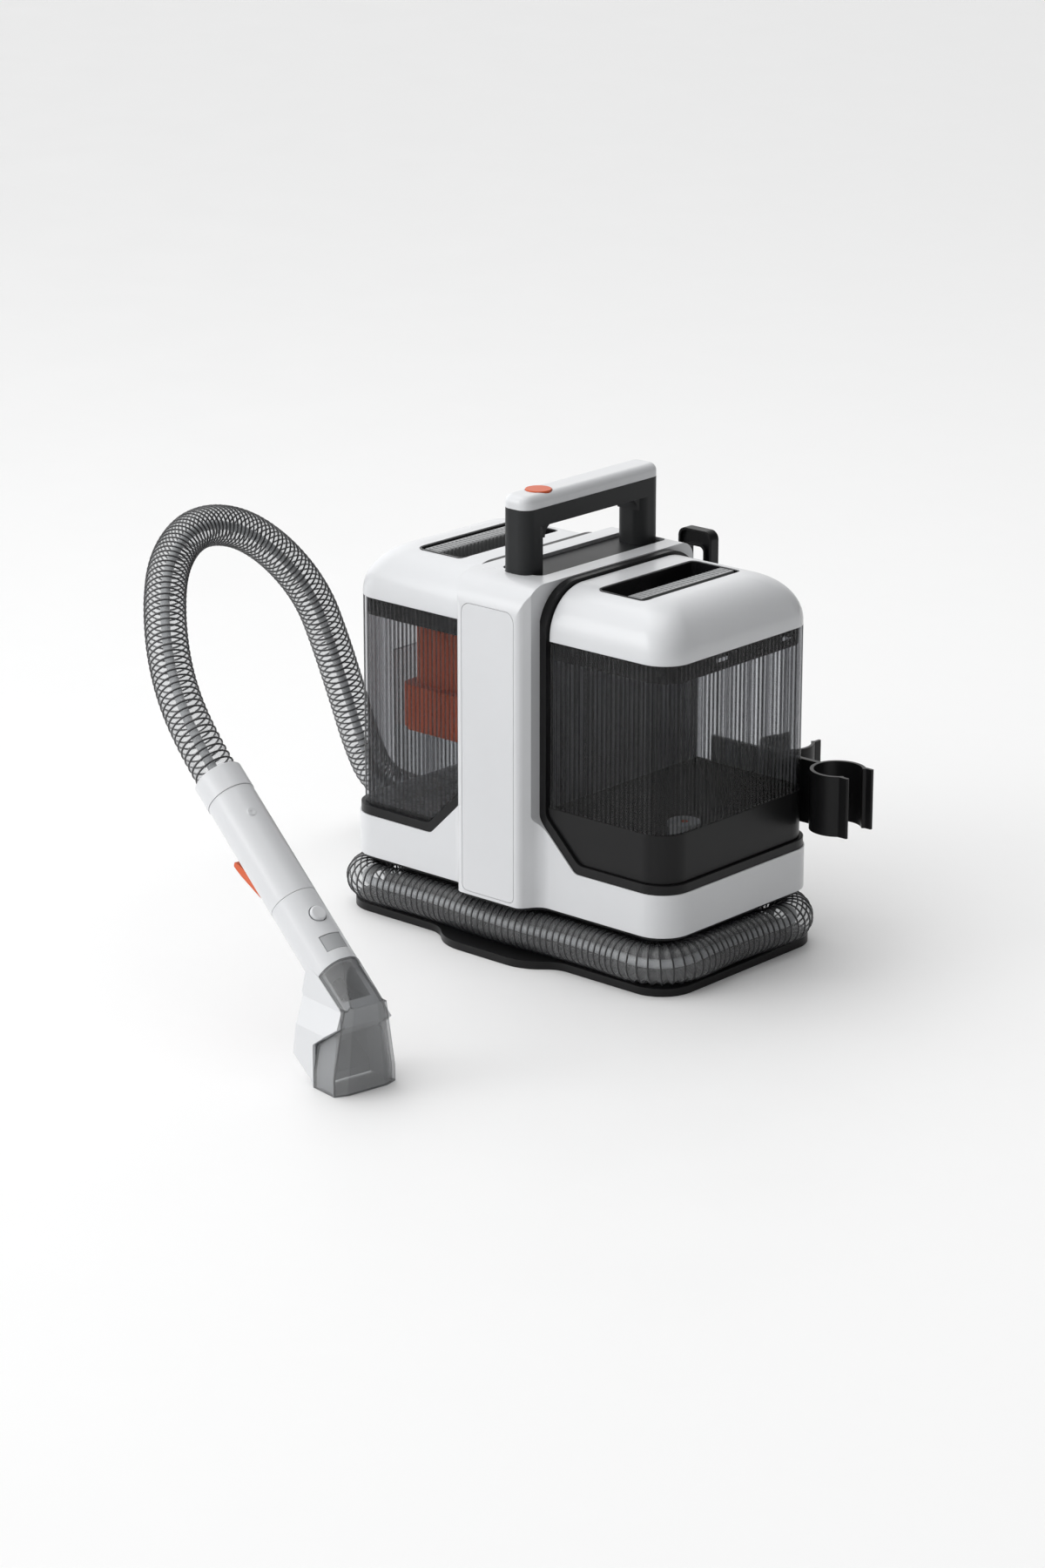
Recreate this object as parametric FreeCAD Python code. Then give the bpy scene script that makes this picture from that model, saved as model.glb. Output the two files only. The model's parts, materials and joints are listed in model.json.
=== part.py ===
import FreeCAD, Part
import math
import os

# Portable spot extractor: a twin-tank suction machine with a hand tool on a hose that wraps round its base.
# Millimetres. X runs left to right, Y front to back, Z up. The origin is on the floor under the body's centre.

Vector = FreeCAD.Vector

# ---- machine body -------------------------------------------------------------------------------------
BODY_W = 323.0            # outside width of the white skirt
BODY_D = 179.0            # outside depth of the white skirt
BODY_R = 25.0             # plan radius of the skirt's corners
SKIRT_BOTTOM = 44.0
DECK_Z = 77.0             # top of the skirt, where the tank bays start
WALL = 3.0
SPINE_HALF = 36.0         # half width of the spine between the tanks
SPINE_FRONT = 105.0       # how far the spine's nose stands from the centre
SPINE_TOP = 292.0
NOSE_HALF = 30.5          # half width of the flat front of the nose
NOSE_ROOT = 41.0          # half width where the nose meets the skirt
CHAMFER_FOOT = 73.0       # the bay's slanted corner: its X on the deck
CHAMFER_TOP = 113.0       # and its Z on the spine
HALF_W = BODY_W / 2
HALF_D = BODY_D / 2

# ---- base ---------------------------------------------------------------------------------------------
TRAY_OUT = 4.0            # the tray stands out this far round the skirt
TRAY_TOP = 6.0
TRAY_BULGE = 112.0        # front of the tray under the nose
CORE_HALF_X = 137.0
CORE_HALF_Y = 65.0
PLATE_BOTTOM = 41.0
PLATE_TOP = 47.0

# ---- tanks --------------------------------------------------------------------------------------------
LINER = 7.0               # thickness of the black lining of each tank bay
GAP = 0.5                 # clearance between bodies that move apart
TANK_X = 158.0            # outer face of each tank
TANK_HALF_Y = 86.0
TANK_R = 23.0
TANK_WALL = 2.5
TANK_BOTTOM = DECK_Z + LINER + GAP
TANK_TOP = 250.0
FOOT_TOP = 122.0          # top of the clean tank's opaque foot
SEAL_BOTTOM = 236.0
LID_BOTTOM = TANK_TOP + GAP
LID_TOP = 289.0
LID_SWEEP = 36.0          # radius of the lid's rounded shoulder
SLOT = (66.0, 114.0, -59.0, 53.0)   # the lid's finger slot: x from, x to, y from, y to
POCKET_BOTTOM = 259.0
SLOT_R = 6.0
BAR = (93.0, 107.5, -56.0, 50.0, 277.0, 288.4)
BAR_RIBS = 25
VALVE_X = 104.0            # the clean tank's outlet valve
PORT_Y = 26.0              # where the dirty tank's tower meets the suction duct
PORT_Z = 268.0

# ---- handle -------------------------------------------------------------------------------------------
HANDLE_HALF_X = 13.0
HANDLE_FRONT = -76.0
HANDLE_BACK = 78.0
LEG_D = 24.0
GRIP_Z = 327.0
CAP_Z = 341.0
HANDLE_TOP = 351.0
HANDLE_R = 9.0
BUTTON_Y = -48.0
BUTTON_R = 10.0

# ---- inside the spine and on the rear -----------------------------------------------------------------
MOTOR_Y = 26.0
MOTOR_Z = 176.0
MOTOR_R = 31.0
PUMP_Y = -52.0
INLET_Z = 84.0             # height of the mains lead's gland
CLIP = (180.5, 88.0)       # centres of the tool holder's two clips
BACK_CLIP = (112.0, 113.0)
CLIP_R = 18.5
CLIP_WALL = 2.8
HOOK_Y = 135.0
HOOK_TOP = 285.0

# ---- hose ---------------------------------------------------------------------------------------------
HOSE_R = 16.0
CHANNEL_Z = TRAY_TOP + HOSE_R + 0.2
CUFF_X = 75.0              # mouth of the hose outlet
CUFF_Y = 90.0

# ---- hand tool, drawn in its own frame: +X forwards, Y across, Z up, origin at the front of its mouth ---
TOOL_PLACE = Vector(121.0, -363.0, 0.0)
TOOL_TURN = -10.0
TOOL_AXIS = Vector(-0.7953, 0.0, 0.6062)      # up along the grip
TOOL_NORMAL = Vector(0.6062, 0.0, 0.7953)     # out of the grip's top side
TOOL_ZERO = Vector(-46.8, 0.0, 84.8)
GRIP_R = 18.0
GRIP_WALL = 2.5
NECK_END = 48.0
CUFF_START = 143.0
HOSE_START = 151.0         # the hose meets the cuff's shoulder here
CUFF_END = 163.0
MOUTH_HALF = 26.5
TRIGGER_S = 64.0           # the trigger's pin
TRIGGER_N = -14.5
RELEASE_S = 26.0           # the nozzle's release button
BUTTON_BORE = 6.6
PROUD = 0.4                # the window stands this far out of the neck
BEVEL_DEPTH = 3.7          # bevels down both sides of the window's front
BEVEL_WIDTH = 10.0
BROW_Z = 62.0              # the window's flat front ends here


# ---- drawing helpers ----------------------------------------------------------------------------------
def outline(corners, plane="xy", at=0.0):
    """Face inside the (u, v, radius) corners, each rounded by its radius, on a plane at the given height."""
    def point(u, v):
        return {"xy": Vector(u, v, at), "xz": Vector(u, at, v), "yz": Vector(at, u, v)}[plane]

    edges = []
    starts = []
    ends = []
    mids = []
    count = len(corners)
    for i, (u, v, r) in enumerate(corners):
        before = corners[i - 1]
        after = corners[(i + 1) % count]
        a = math.atan2(before[1] - v, before[0] - u)
        b = math.atan2(after[1] - v, after[0] - u)
        half = abs((a - b + math.pi) % (2 * math.pi) - math.pi) / 2
        back = r / math.tan(half)
        starts.append((u + back * math.cos(a), v + back * math.sin(a)))
        ends.append((u + back * math.cos(b), v + back * math.sin(b)))
        reach = r / math.sin(half) - r
        bis = math.hypot(math.cos(a) + math.cos(b), math.sin(a) + math.sin(b))
        mids.append((u + reach * (math.cos(a) + math.cos(b)) / max(bis, 1e-9),
                     v + reach * (math.sin(a) + math.sin(b)) / max(bis, 1e-9)))
    for i in range(count):
        if corners[i][2] > 0:
            edges.append(Part.Arc(point(*starts[i]), point(*mids[i]), point(*ends[i])).toShape())
        after = starts[(i + 1) % count]
        if math.dist(ends[i], after) > 1e-6:
            edges.append(Part.LineSegment(point(*ends[i]), point(*after)).toShape())
    return Part.Face(Part.Wire(edges))


def block(x0, x1, y0, y1, z0, z1):
    return Part.makeBox(x1 - x0, y1 - y0, z1 - z0, Vector(x0, y0, z0))


def rounded_block(x0, x1, y0, y1, z0, z1, r):
    """Upright block with its four vertical edges rounded."""
    plan = [(x1, y0, r), (x1, y1, r), (x0, y1, r), (x0, y0, r)]
    return outline(plan, "xy", z0).extrude(Vector(0, 0, z1 - z0))


def rod(r, start, axis, length):
    return Part.makeCylinder(r, length, start, axis)


def tube(r_out, r_in, start, axis, length):
    return rod(r_out, start, axis, length).cut(rod(r_in, start - axis * 1.0, axis, length + 2.0))


def fuse(shapes):
    result = shapes[0]
    for shape in shapes[1:]:
        result = result.fuse(shape)
    return result.removeSplitter()


def coil(radius, wire, pitch, height, start, axis):
    """Compression spring: a round wire swept along a helix."""
    helix = Part.makeHelix(pitch, height, radius)
    ring = Part.Wire(Part.makeCircle(wire / 2, Vector(radius, 0, 0), Vector(0, 1, 0)))
    spring = Part.Wire(helix.Edges).makePipeShell([ring], True, True)
    spring.rotate(Vector(0, 0, 0), Vector(0, 0, 1).cross(axis) if abs(axis.z) < 0.999 else Vector(1, 0, 0),
                  math.degrees(math.acos(max(-1.0, min(1.0, axis.z)))))
    spring.translate(start)
    return spring


def mirrored(shape):
    """The same piece on the machine's left."""
    return shape.mirror(Vector(0, 0, 0), Vector(1, 0, 0))


def write(name, shape):
    solids = shape.Solids
    if len(solids) == 0 or not shape.isValid():
        raise ValueError(name + " is not a valid solid")
    print(name, "solids", len(solids), "volume", round(shape.Volume / 1000, 1), "cm3")
    target = solids[0] if len(solids) == 1 else Part.makeCompound(solids)
    target.exportStep("parts/" + name + ".step")


# ---- body shapes that several pieces share ------------------------------------------------------------
def body_plan(inset, z0, z1):
    """Skirt and nose in plan, as one column."""
    w = HALF_W - inset
    d = HALF_D - inset
    r = BODY_R - inset
    nose = SPINE_FRONT - inset
    corners = [(w, -d, r), (w, d, r), (-w, d, r), (-w, -d, r), (inset * 0.6 - NOSE_ROOT, -d, 12.0 + inset),
               (inset * 0.6 - NOSE_HALF, -nose, 7.0), (NOSE_HALF - inset * 0.6, -nose, 7.0),
               (NOSE_ROOT - inset * 0.6, -d, 12.0 + inset)]
    return outline(corners, "xy", z0).extrude(Vector(0, 0, z1 - z0))


def bay(offset, r=8.0, top=310.0):
    """Space beside the spine that a tank stands in. A positive offset shrinks it towards the tank."""
    run = CHAMFER_FOOT - SPINE_HALF
    rise = CHAMFER_TOP - DECK_Z
    length = math.hypot(run, rise)
    nx = rise / length
    nz = run / length
    slant = nx * SPINE_HALF + nz * CHAMFER_TOP + offset
    wall = SPINE_HALF + offset
    deck = DECK_Z + offset
    far = HALF_W + 30.0
    corners = [(far, top, 0), (wall, top, 0), (wall, (slant - nx * wall) / nz, r),
               ((slant - nz * deck) / nx, deck, r), (far, deck, 0)]
    return outline(corners, "xz", -130.0).extrude(Vector(0, 260.0, 0))


def tank_solid(inset, z0, z1):
    """A right-hand tank's outside, shrunk by the inset."""
    plan = rounded_block(20.0, TANK_X - inset, inset - TANK_HALF_Y, TANK_HALF_Y - inset, z0, z1,
                         TANK_R - inset)
    return plan.common(bay(LINER + GAP + inset, 12.0))


def lid_solid(inset, z0, z1):
    """Lid with a swept shoulder on its three outer sides, as a loft through level outlines."""
    wires = []
    sweep = LID_SWEEP - inset
    floor = LID_TOP - inset - sweep
    steps = [0.0, 0.22, 0.42, 0.6, 0.75, 0.87, 0.95, 0.985]
    levels = [z0] + [floor + sweep * s for s in steps if floor + sweep * s > z0 + 1.0]
    for z in levels + [z1]:
        up = max(0.0, min(sweep, z - floor))
        back = sweep - math.sqrt(sweep * sweep - up * up)
        x1 = TANK_X - inset - back
        y1 = TANK_HALF_Y - inset - back
        r = TANK_R - inset - back * 0.25
        x0 = SPINE_HALF + LINER + GAP + inset + back * 0.04
        near = 2.0
        corners = [(x1, -y1, r), (x1, y1, r), (x0, y1, near), (x0, -y1, near)]
        wires.append(outline(corners, "xy", z).OuterWire)
    return Part.makeLoft(wires, True, False)


# ---- base ---------------------------------------------------------------------------------------------
def base_tray():
    w = HALF_W + TRAY_OUT
    d = HALF_D + TRAY_OUT
    r = BODY_R + TRAY_OUT
    plan = [(w, -d, r), (w, d, r), (-w, d, r), (-w, -d, r), (-60.0, -d, 25.0), (-40.0, -TRAY_BULGE, 40.0),
            (40.0, -TRAY_BULGE, 40.0), (60.0, -d, 25.0)]
    floor = outline(plan, "xy", 0.0).extrude(Vector(0, 0, TRAY_TOP))
    core = rounded_block(-CORE_HALF_X, CORE_HALF_X, -CORE_HALF_Y, CORE_HALF_Y, 0.0, PLATE_BOTTOM, 20.0)
    inner = rounded_block(WALL - CORE_HALF_X, CORE_HALF_X - WALL, WALL - CORE_HALF_Y, CORE_HALF_Y - WALL,
                          3.0, PLATE_BOTTOM + 1.0, 17.0)
    tray = fuse([floor, core]).cut(inner)
    # the underside is hollowed inside a rim, so that it stands on the rim and its feet
    hollow = rounded_block(-w + 12.0, w - 12.0, -d + 12.0, d - 12.0, -1.0, 1.2, 18.0)
    for x, y in foot_centres():
        hollow = hollow.cut(rod(13.0, Vector(x, y, -1.0), Vector(0, 0, 1), 3.0))
        tray = tray.cut(rod(9.2, Vector(x, y, -1.0), Vector(0, 0, 1), 2.5))
    tray = tray.cut(hollow)
    for x, y in post_centres():
        tray = tray.fuse(rod(6.0, Vector(x, y, 2.5), Vector(0, 0, 1), PLATE_BOTTOM - 2.5))
        tray = tray.cut(rod(4.2, Vector(x, y, -1.0), Vector(0, 0, 1), 5.0))
        tray = tray.cut(rod(1.9, Vector(x, y, -1.0), Vector(0, 0, 1), 60.0))
    return tray.removeSplitter()


def foot_centres():
    return [(sx * 140.0, sy * 68.0) for sx in (-1, 1) for sy in (-1, 1)]


def post_centres():
    return [(sx * 118.0, sy * 46.0) for sx in (-1, 1) for sy in (-1, 1)] + [(0.0, -50.0), (0.0, 50.0)]


def rubber_feet():
    return Part.makeCompound([rod(9.0, Vector(x, y, 0), Vector(0, 0, 1), 1.5) for x, y in foot_centres()])


def screw(x, y, z, axis, length):
    """Pan-head screw with its head at the given point and its shank along the axis."""
    base = Vector(x, y, z)
    head = rod(3.4, base, axis, 2.2)
    shank = rod(1.8, base + axis * 2.2, axis, length)
    drive = rod(1.4, base - axis * 0.1, axis, 1.3)
    return head.fuse(shank).cut(drive)


def chassis_plate():
    plate = body_plan(WALL + 0.3, PLATE_BOTTOM, PLATE_TOP)
    hollow = rounded_block(-140.0, 140.0, -70.0, 70.0, PLATE_BOTTOM + 3.0, PLATE_TOP + 1.0, 12.0)
    plate = plate.cut(hollow)
    for x, y in post_centres():
        plate = plate.cut(rod(1.9, Vector(x, y, 30.0), Vector(0, 0, 1), 20.0))
    return plate


def chassis_screws():
    length = PLATE_BOTTOM - 0.7
    return Part.makeCompound([screw(x, y, 1.4, Vector(0, 0, 1), length) for x, y in post_centres()])


# ---- housing ------------------------------------------------------------------------------------------
def housing_solid(inset, z0):
    column = body_plan(inset, z0, 300.0)
    side = outline([(-SPINE_FRONT + inset, z0 - 1.0, 0), (-SPINE_FRONT + inset, SPINE_TOP - inset, 24.0),
                    (HALF_D - inset, SPINE_TOP - inset, 14.0), (HALF_D - inset, z0 - 1.0, 0)],
                   "yz", -200.0).extrude(Vector(400.0, 0, 0))
    right = bay(-inset)
    return column.common(side).cut(right).cut(mirrored(right))


def main_housing():
    shell = housing_solid(0.0, SKIRT_BOTTOM).cut(housing_solid(WALL, SKIRT_BOTTOM - 1.0))
    # seat for the front panel, window for the top panel and opening for the rear cover
    seat = outline([(-26.0, 46.5, 5.0), (26.0, 46.5, 5.0), (26.0, 272.0, 8.0), (-26.0, 272.0, 8.0)],
                   "xz", -SPINE_FRONT - 5.0).extrude(Vector(0, 6.2, 0))
    top = rounded_block(-20.3, 20.3, -68.8, 78.8, SPINE_TOP - 20.0, SPINE_TOP + 5.0, 7.0)
    rear = outline([(-29.0, 58.0, 5.0), (29.0, 58.0, 5.0), (29.0, 268.0, 5.0), (-29.0, 268.0, 5.0)],
                   "xz", HALF_D - 12.0).extrude(Vector(0, 20.0, 0))
    shell = shell.cut(seat).cut(top).cut(rear)
    for y in (HANDLE_FRONT, HANDLE_BACK - LEG_D):
        shell = shell.cut(rounded_block(-HANDLE_HALF_X - 0.1, HANDLE_HALF_X + 0.1, y - 0.1, y + LEG_D + 0.1,
                                        SPINE_TOP - 3.2, SPINE_TOP + 5.0, HANDLE_R))
    # the clean tank's valve dock, and the suction port that meets the dirty tank's lid
    shell = shell.cut(rod(12.0, Vector(VALVE_X, 0, DECK_Z - 10.0), Vector(0, 0, 1), 20.0))
    shell = shell.cut(rod(11.0, Vector(-SPINE_HALF + 6.0, PORT_Y, PORT_Z), Vector(-1, 0, 0), 12.0))
    return shell.removeSplitter()


def front_panel():
    depth = 1.2
    panel = outline([(-25.7, 46.8, 4.8), (25.7, 46.8, 4.8), (25.7, 271.7, 7.8), (-25.7, 271.7, 7.8)],
                    "xz", -SPINE_FRONT - 5.0).extrude(Vector(0, 5.0 + depth, 0))
    return panel.common(housing_solid(0.0, SKIRT_BOTTOM))


def top_panel():
    flange = rounded_block(-23.5, 23.5, -72.0, 80.0, 286.0, 289.0, 7.0)
    pan = rounded_block(-20.0, 20.0, -68.5, 78.5, 286.0, 289.2, 6.5)
    plate = flange.fuse(pan).common(housing_solid(WALL, SKIRT_BOTTOM).fuse(pan))
    for y in (HANDLE_FRONT + LEG_D / 2, HANDLE_BACK - LEG_D / 2):
        plate = plate.cut(rod(2.2, Vector(0, y, 280.0), Vector(0, 0, 1), 15.0))
    return plate.removeSplitter()


def rear_cover():
    cover = outline([(-28.6, 58.4, 4.6), (28.6, 58.4, 4.6), (28.6, 267.6, 4.6), (-28.6, 267.6, 4.6)],
                    "xz", HALF_D - WALL).extrude(Vector(0, WALL, 0))
    for row in range(10):
        z = 176.0 + row * 6.0
        cover = cover.cut(rounded_slot(-20.0, 20.0, z, 2.6, HALF_D - 8.0, 12.0))
    for x, z in cover_screw_places():
        cover = cover.cut(rod(1.9, Vector(x, HALF_D - 8.0, z), Vector(0, 1, 0), 12.0))
    return cover.cut(rod(5.6, Vector(0, HALF_D - 8.0, INLET_Z), Vector(0, 1, 0), 12.0))


def rounded_slot(x0, x1, z, height, y, depth):
    r = height / 2 - 0.01
    return outline([(x0, z - height / 2, r), (x1, z - height / 2, r), (x1, z + height / 2, r),
                    (x0, z + height / 2, r)], "xz", y).extrude(Vector(0, depth, 0))


def cover_screw_places():
    return [(sx * 24.0, z) for sx in (-1, 1) for z in (66.0, 260.0)]


def rear_cover_screws():
    y = HALF_D + 2.2
    return Part.makeCompound([screw(x, y, z, Vector(0, -1, 0), 9.0) for x, z in cover_screw_places()])


def bay_liner():
    """Black lining of one tank bay: spine side, slanted corner and deck, in one moulding."""
    lining = bay(0.0).cut(bay(LINER, 10.0, 320.0))
    side = outline([(-HALF_D + 1.0, DECK_Z - 1.0, 0), (-HALF_D + 1.0, 291.0, LID_SWEEP),
                    (HALF_D - 1.0, 291.0, LID_SWEEP), (HALF_D - 1.0, DECK_Z - 1.0, 0)],
                   "yz", 0.0).extrude(Vector(400.0, 0, 0))
    plan = rounded_block(20.0, HALF_W - 1.0, 1.0 - HALF_D, HALF_D - 1.0, DECK_Z - 1.0, 300.0, BODY_R - 1.0)
    return lining.common(side).common(plan)


def bay_liner_right():
    return bay_liner().cut(rod(12.0, Vector(VALVE_X, 0, DECK_Z - 10.0), Vector(0, 0, 1), 30.0))


def bay_liner_left():
    return mirrored(bay_liner()).cut(rod(11.0, Vector(-20.0, PORT_Y, PORT_Z), Vector(-1, 0, 0), 40.0))


# ---- handle -------------------------------------------------------------------------------------------
def handle_frame():
    x = HANDLE_HALF_X
    front = rounded_block(-x, x, HANDLE_FRONT, HANDLE_FRONT + LEG_D, 289.2, CAP_Z, HANDLE_R)
    back = rounded_block(-x, x, HANDLE_BACK - LEG_D, HANDLE_BACK, 289.2, CAP_Z, HANDLE_R)
    bar = rounded_block(-x, x, HANDLE_FRONT, HANDLE_BACK, GRIP_Z, CAP_Z, HANDLE_R)
    frame = front.fuse(back).fuse(bar)
    curve = 10.0
    for y, side in ((HANDLE_FRONT + LEG_D, 1), (HANDLE_BACK - LEG_D, -1)):
        y0, y1 = sorted((y - side * 3.0, y + side * curve))
        gusset = block(3.0 - x, x - 3.0, y0, y1, GRIP_Z - curve, GRIP_Z + 1.0)
        round_off = rod(curve, Vector(-x - 1, y + side * curve, GRIP_Z - curve), Vector(1, 0, 0), 2 * x + 2)
        frame = frame.fuse(gusset.cut(round_off))
    pocket = rod(BUTTON_R + 0.6, Vector(0, BUTTON_Y, 332.0), Vector(0, 0, 1), 12.0)
    return frame.cut(pocket).removeSplitter()


def handle_cap():
    x = HANDLE_HALF_X
    cap = rounded_block(-x, x, HANDLE_FRONT, HANDLE_BACK, CAP_Z, HANDLE_TOP, HANDLE_R)
    rim = [e for e in cap.Edges if e.BoundBox.ZMin > HANDLE_TOP - 0.1]
    cap = cap.makeFillet(6.0, rim)
    return cap.cut(rod(BUTTON_R + 0.4, Vector(0, BUTTON_Y, 330.0), Vector(0, 0, 1), 40.0))


def power_button():
    head = rod(BUTTON_R, Vector(0, BUTTON_Y, 345.0), Vector(0, 0, 1), HANDLE_TOP + 0.8 - 345.0)
    stem = rod(2.5, Vector(0, BUTTON_Y, 338.2), Vector(0, 0, 1), 8.0)
    button = head.fuse(stem).removeSplitter()
    rim = [e for e in button.Edges if e.BoundBox.ZMin > HANDLE_TOP + 0.7]
    return button.makeFillet(0.6, rim)


def power_button_spring():
    return coil(4.8, 0.7, 3.2, 12.1, Vector(0, BUTTON_Y, 332.4), Vector(0, 0, 1))


def power_switch():
    body = block(-2.8, 2.8, BUTTON_Y - 2.8, BUTTON_Y + 2.8, 332.0, 335.2)
    return body.fuse(rod(1.5, Vector(0, BUTTON_Y, 335.0), Vector(0, 0, 1), 0.8))


# ---- tanks --------------------------------------------------------------------------------------------
def clean_tank_foot():
    foot = tank_solid(0.0, TANK_BOTTOM - 5.0, FOOT_TOP)
    foot = foot.cut(tank_solid(TANK_WALL + 0.5, TANK_BOTTOM - 5.0, FOOT_TOP + 5.0))
    return foot.cut(rod(6.0, Vector(VALVE_X, 0, 60.0), Vector(0, 0, 1), 40.0))


def clean_tank_body():
    wall = tank_solid(0.0, FOOT_TOP, TANK_TOP).cut(tank_solid(TANK_WALL, FOOT_TOP - 5.0, TANK_TOP + 5.0))
    skirt = tank_solid(TANK_WALL + 0.5, FOOT_TOP - 8.0, FOOT_TOP + 4.0)
    skirt = skirt.cut(tank_solid(TANK_WALL + 2.5, FOOT_TOP - 12.0, FOOT_TOP + 8.0))
    lip = tank_solid(TANK_WALL - 0.1, FOOT_TOP, FOOT_TOP + 4.0)
    lip = lip.cut(tank_solid(TANK_WALL + 2.5, FOOT_TOP - 12.0, FOOT_TOP + 8.0))
    return fuse([wall, skirt, lip])


def lid_shell():
    shell = lid_solid(0.0, LID_BOTTOM, LID_TOP)
    shell = shell.cut(lid_solid(TANK_WALL, LID_BOTTOM - 1.0, LID_TOP - TANK_WALL))
    x0, x1, y0, y1 = SLOT
    return shell.cut(rounded_block(x0, x1, y0, y1, LID_TOP - 20.0, LID_TOP + 5.0, SLOT_R))


def lid_base():
    """Black frame under the lid: a plate inside the shell and a seal band inside the tank's mouth."""
    plate = lid_solid(TANK_WALL, LID_BOTTOM - 1.0, LID_TOP - TANK_WALL)
    plate = plate.common(block(0, 200, -120, 120, LID_BOTTOM, LID_BOTTOM + 2.5))
    band = tank_solid(TANK_WALL + 0.8, SEAL_BOTTOM, LID_BOTTOM + 1.0)
    band = band.cut(tank_solid(TANK_WALL + 3.3, SEAL_BOTTOM - 5.0, LID_BOTTOM - 0.5))
    frame = plate.fuse(band)
    for y in (-19.0, 58.0):
        frame = frame.cut(block(TANK_X - 8.0, TANK_X, y - 8.0, y + 8.0, 241.5, 245.5))
    return frame.removeSplitter()


def grip_pocket():
    x0, x1, y0, y1 = SLOT
    e = 0.01
    w = 1.5
    cup = rounded_block(x0, x1, y0, y1, POCKET_BOTTOM, LID_TOP - TANK_WALL, SLOT_R)
    cup = cup.fuse(rounded_block(x0 + e, x1 - e, y0 + e, y1 - e, LID_TOP - 5.0, LID_TOP - 0.6, SLOT_R))
    inner = rounded_block(x0 + w, x1 - w, y0 + w, y1 - w, POCKET_BOTTOM + 2.0, LID_TOP + 5.0, SLOT_R - w)
    stand = block(x0 + 20, x1 - 6, -30, -22, LID_BOTTOM + 2.5, POCKET_BOTTOM + 0.5)
    return fuse([cup.cut(inner), stand, stand.translated(Vector(0, 50, 0))])


def grip_bar():
    """Ribbed finger bar of the lid's catch."""
    x0, x1, y0, y1, z0, z1 = BAR
    bar = block(x0, x1, y0, y1, z0, z1)
    edge = [e for e in bar.Edges if e.BoundBox.ZMin > z1 - 0.1 and e.BoundBox.XMax < x0 + 0.1]
    bar = bar.makeFillet(2.5, edge)
    pitch = (y1 - y0) / BAR_RIBS
    for i in range(BAR_RIBS):
        y = y0 + (i + 0.28) * pitch
        bar = bar.cut(block(x0 - 1, x1 - 2.0, y, y + pitch * 0.44, z1 - 0.8, z1 + 1))
        bar = bar.cut(block(x0 - 1, x0 + 0.8, y, y + pitch * 0.44, z0 + 1.5, z1 + 1))
    foot = block(x0 + 4.0, x1 - 3.0, y0 + 10.0, y1 - 10.0, POCKET_BOTTOM + 2.4, z0 + 1.0)
    return bar.fuse(foot).removeSplitter()


def clean_tank_valve():
    floor = TANK_BOTTOM + TANK_WALL + 0.5
    stem = rod(3.0, Vector(VALVE_X, 0, floor - 9.0), Vector(0, 0, 1), 25.0)
    head = rod(9.5, Vector(VALVE_X, 0, floor + 0.3), Vector(0, 0, 1), 2.4)
    return stem.fuse(head).removeSplitter()


def clean_tank_valve_spring():
    floor = TANK_BOTTOM + TANK_WALL + 0.5
    return coil(5.2, 0.8, 2.5, 10.0, Vector(VALVE_X, 0, floor + 3.4), Vector(0, 0, 1))


def clean_tank_valve_cage():
    """Spider that holds the valve's spring down, standing on the foot's floor."""
    floor = TANK_BOTTOM + TANK_WALL + 0.5
    cage = tube(12.5, 11.0, Vector(VALVE_X, 0, floor), Vector(0, 0, 1), 16.0)
    for i in range(3):
        window = block(-4.0, 4.0, 6.0, 16.0, 2.0, 12.0)
        window.rotate(Vector(0, 0, 0), Vector(0, 0, 1), 120.0 * i)
        window.translate(Vector(VALVE_X, 0, floor))
        cage = cage.cut(window)
    roof = tube(12.5, 3.3, Vector(VALVE_X, 0, floor + 14.4), Vector(0, 0, 1), 1.6)
    return cage.fuse(roof).removeSplitter()


def dirty_tank_body():
    body = tank_solid(0.0, TANK_BOTTOM - 5.0, TANK_TOP)
    return mirrored(body.cut(tank_solid(TANK_WALL, TANK_BOTTOM - 5.0, TANK_TOP + 5.0)))


def dirty_tank_partition():
    """Clear baffle that stands on the dirty tank's floor and keeps the intake's splash off the float."""
    z0 = TANK_BOTTOM + TANK_WALL
    plate = block(-124.0, -122.4, -75.0, 40.0, z0, 210.0)
    web = block(-122.4, -100.0, 38.4, 40.0, z0, 210.0)
    return fuse([plate, web])


def separator_tower():
    """Orange air and water separator: a chimney under the dirty tank's lid with a wider float box below."""
    z_top = LID_BOTTOM - 0.5
    neck = rounded_block(-112.0, -52.0, -66.0, 6.0, 176.0, z_top, 8.0)
    box = rounded_block(-120.0, -50.0, -73.0, 14.0, 150.0, 184.0, 10.0)
    shell = fuse([neck, box])
    shell = shell.cut(rounded_block(-110.0, -54.0, -64.0, 4.0, 184.5, z_top + 1.0, 6.0))
    shell = shell.cut(rounded_block(-118.0, -52.0, -71.0, 12.0, 149.0, 182.0, 8.0))
    return shell.cut(rounded_block(-86.0, -64.0, -34.0, -10.0, 180.0, 190.0, 5.0))


def separator_float():
    cup = rounded_block(-92.0, -58.0, -40.0, -4.0, 150.4, 170.0, 6.0)
    return cup.cut(rounded_block(-90.5, -59.5, -38.5, -5.5, 149.0, 168.5, 5.0))


def float_cage():
    """Grille that closes the separator's float box from below."""
    plate = rounded_block(-118.0, -52.0, -71.0, 12.0, 147.4, 150.0, 8.0)
    for i in range(9):
        x = -116.0 + i * 7.0
        plate = plate.cut(block(x, x + 4.0, -63.0, 4.0, 146.0, 152.0))
    return plate


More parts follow.
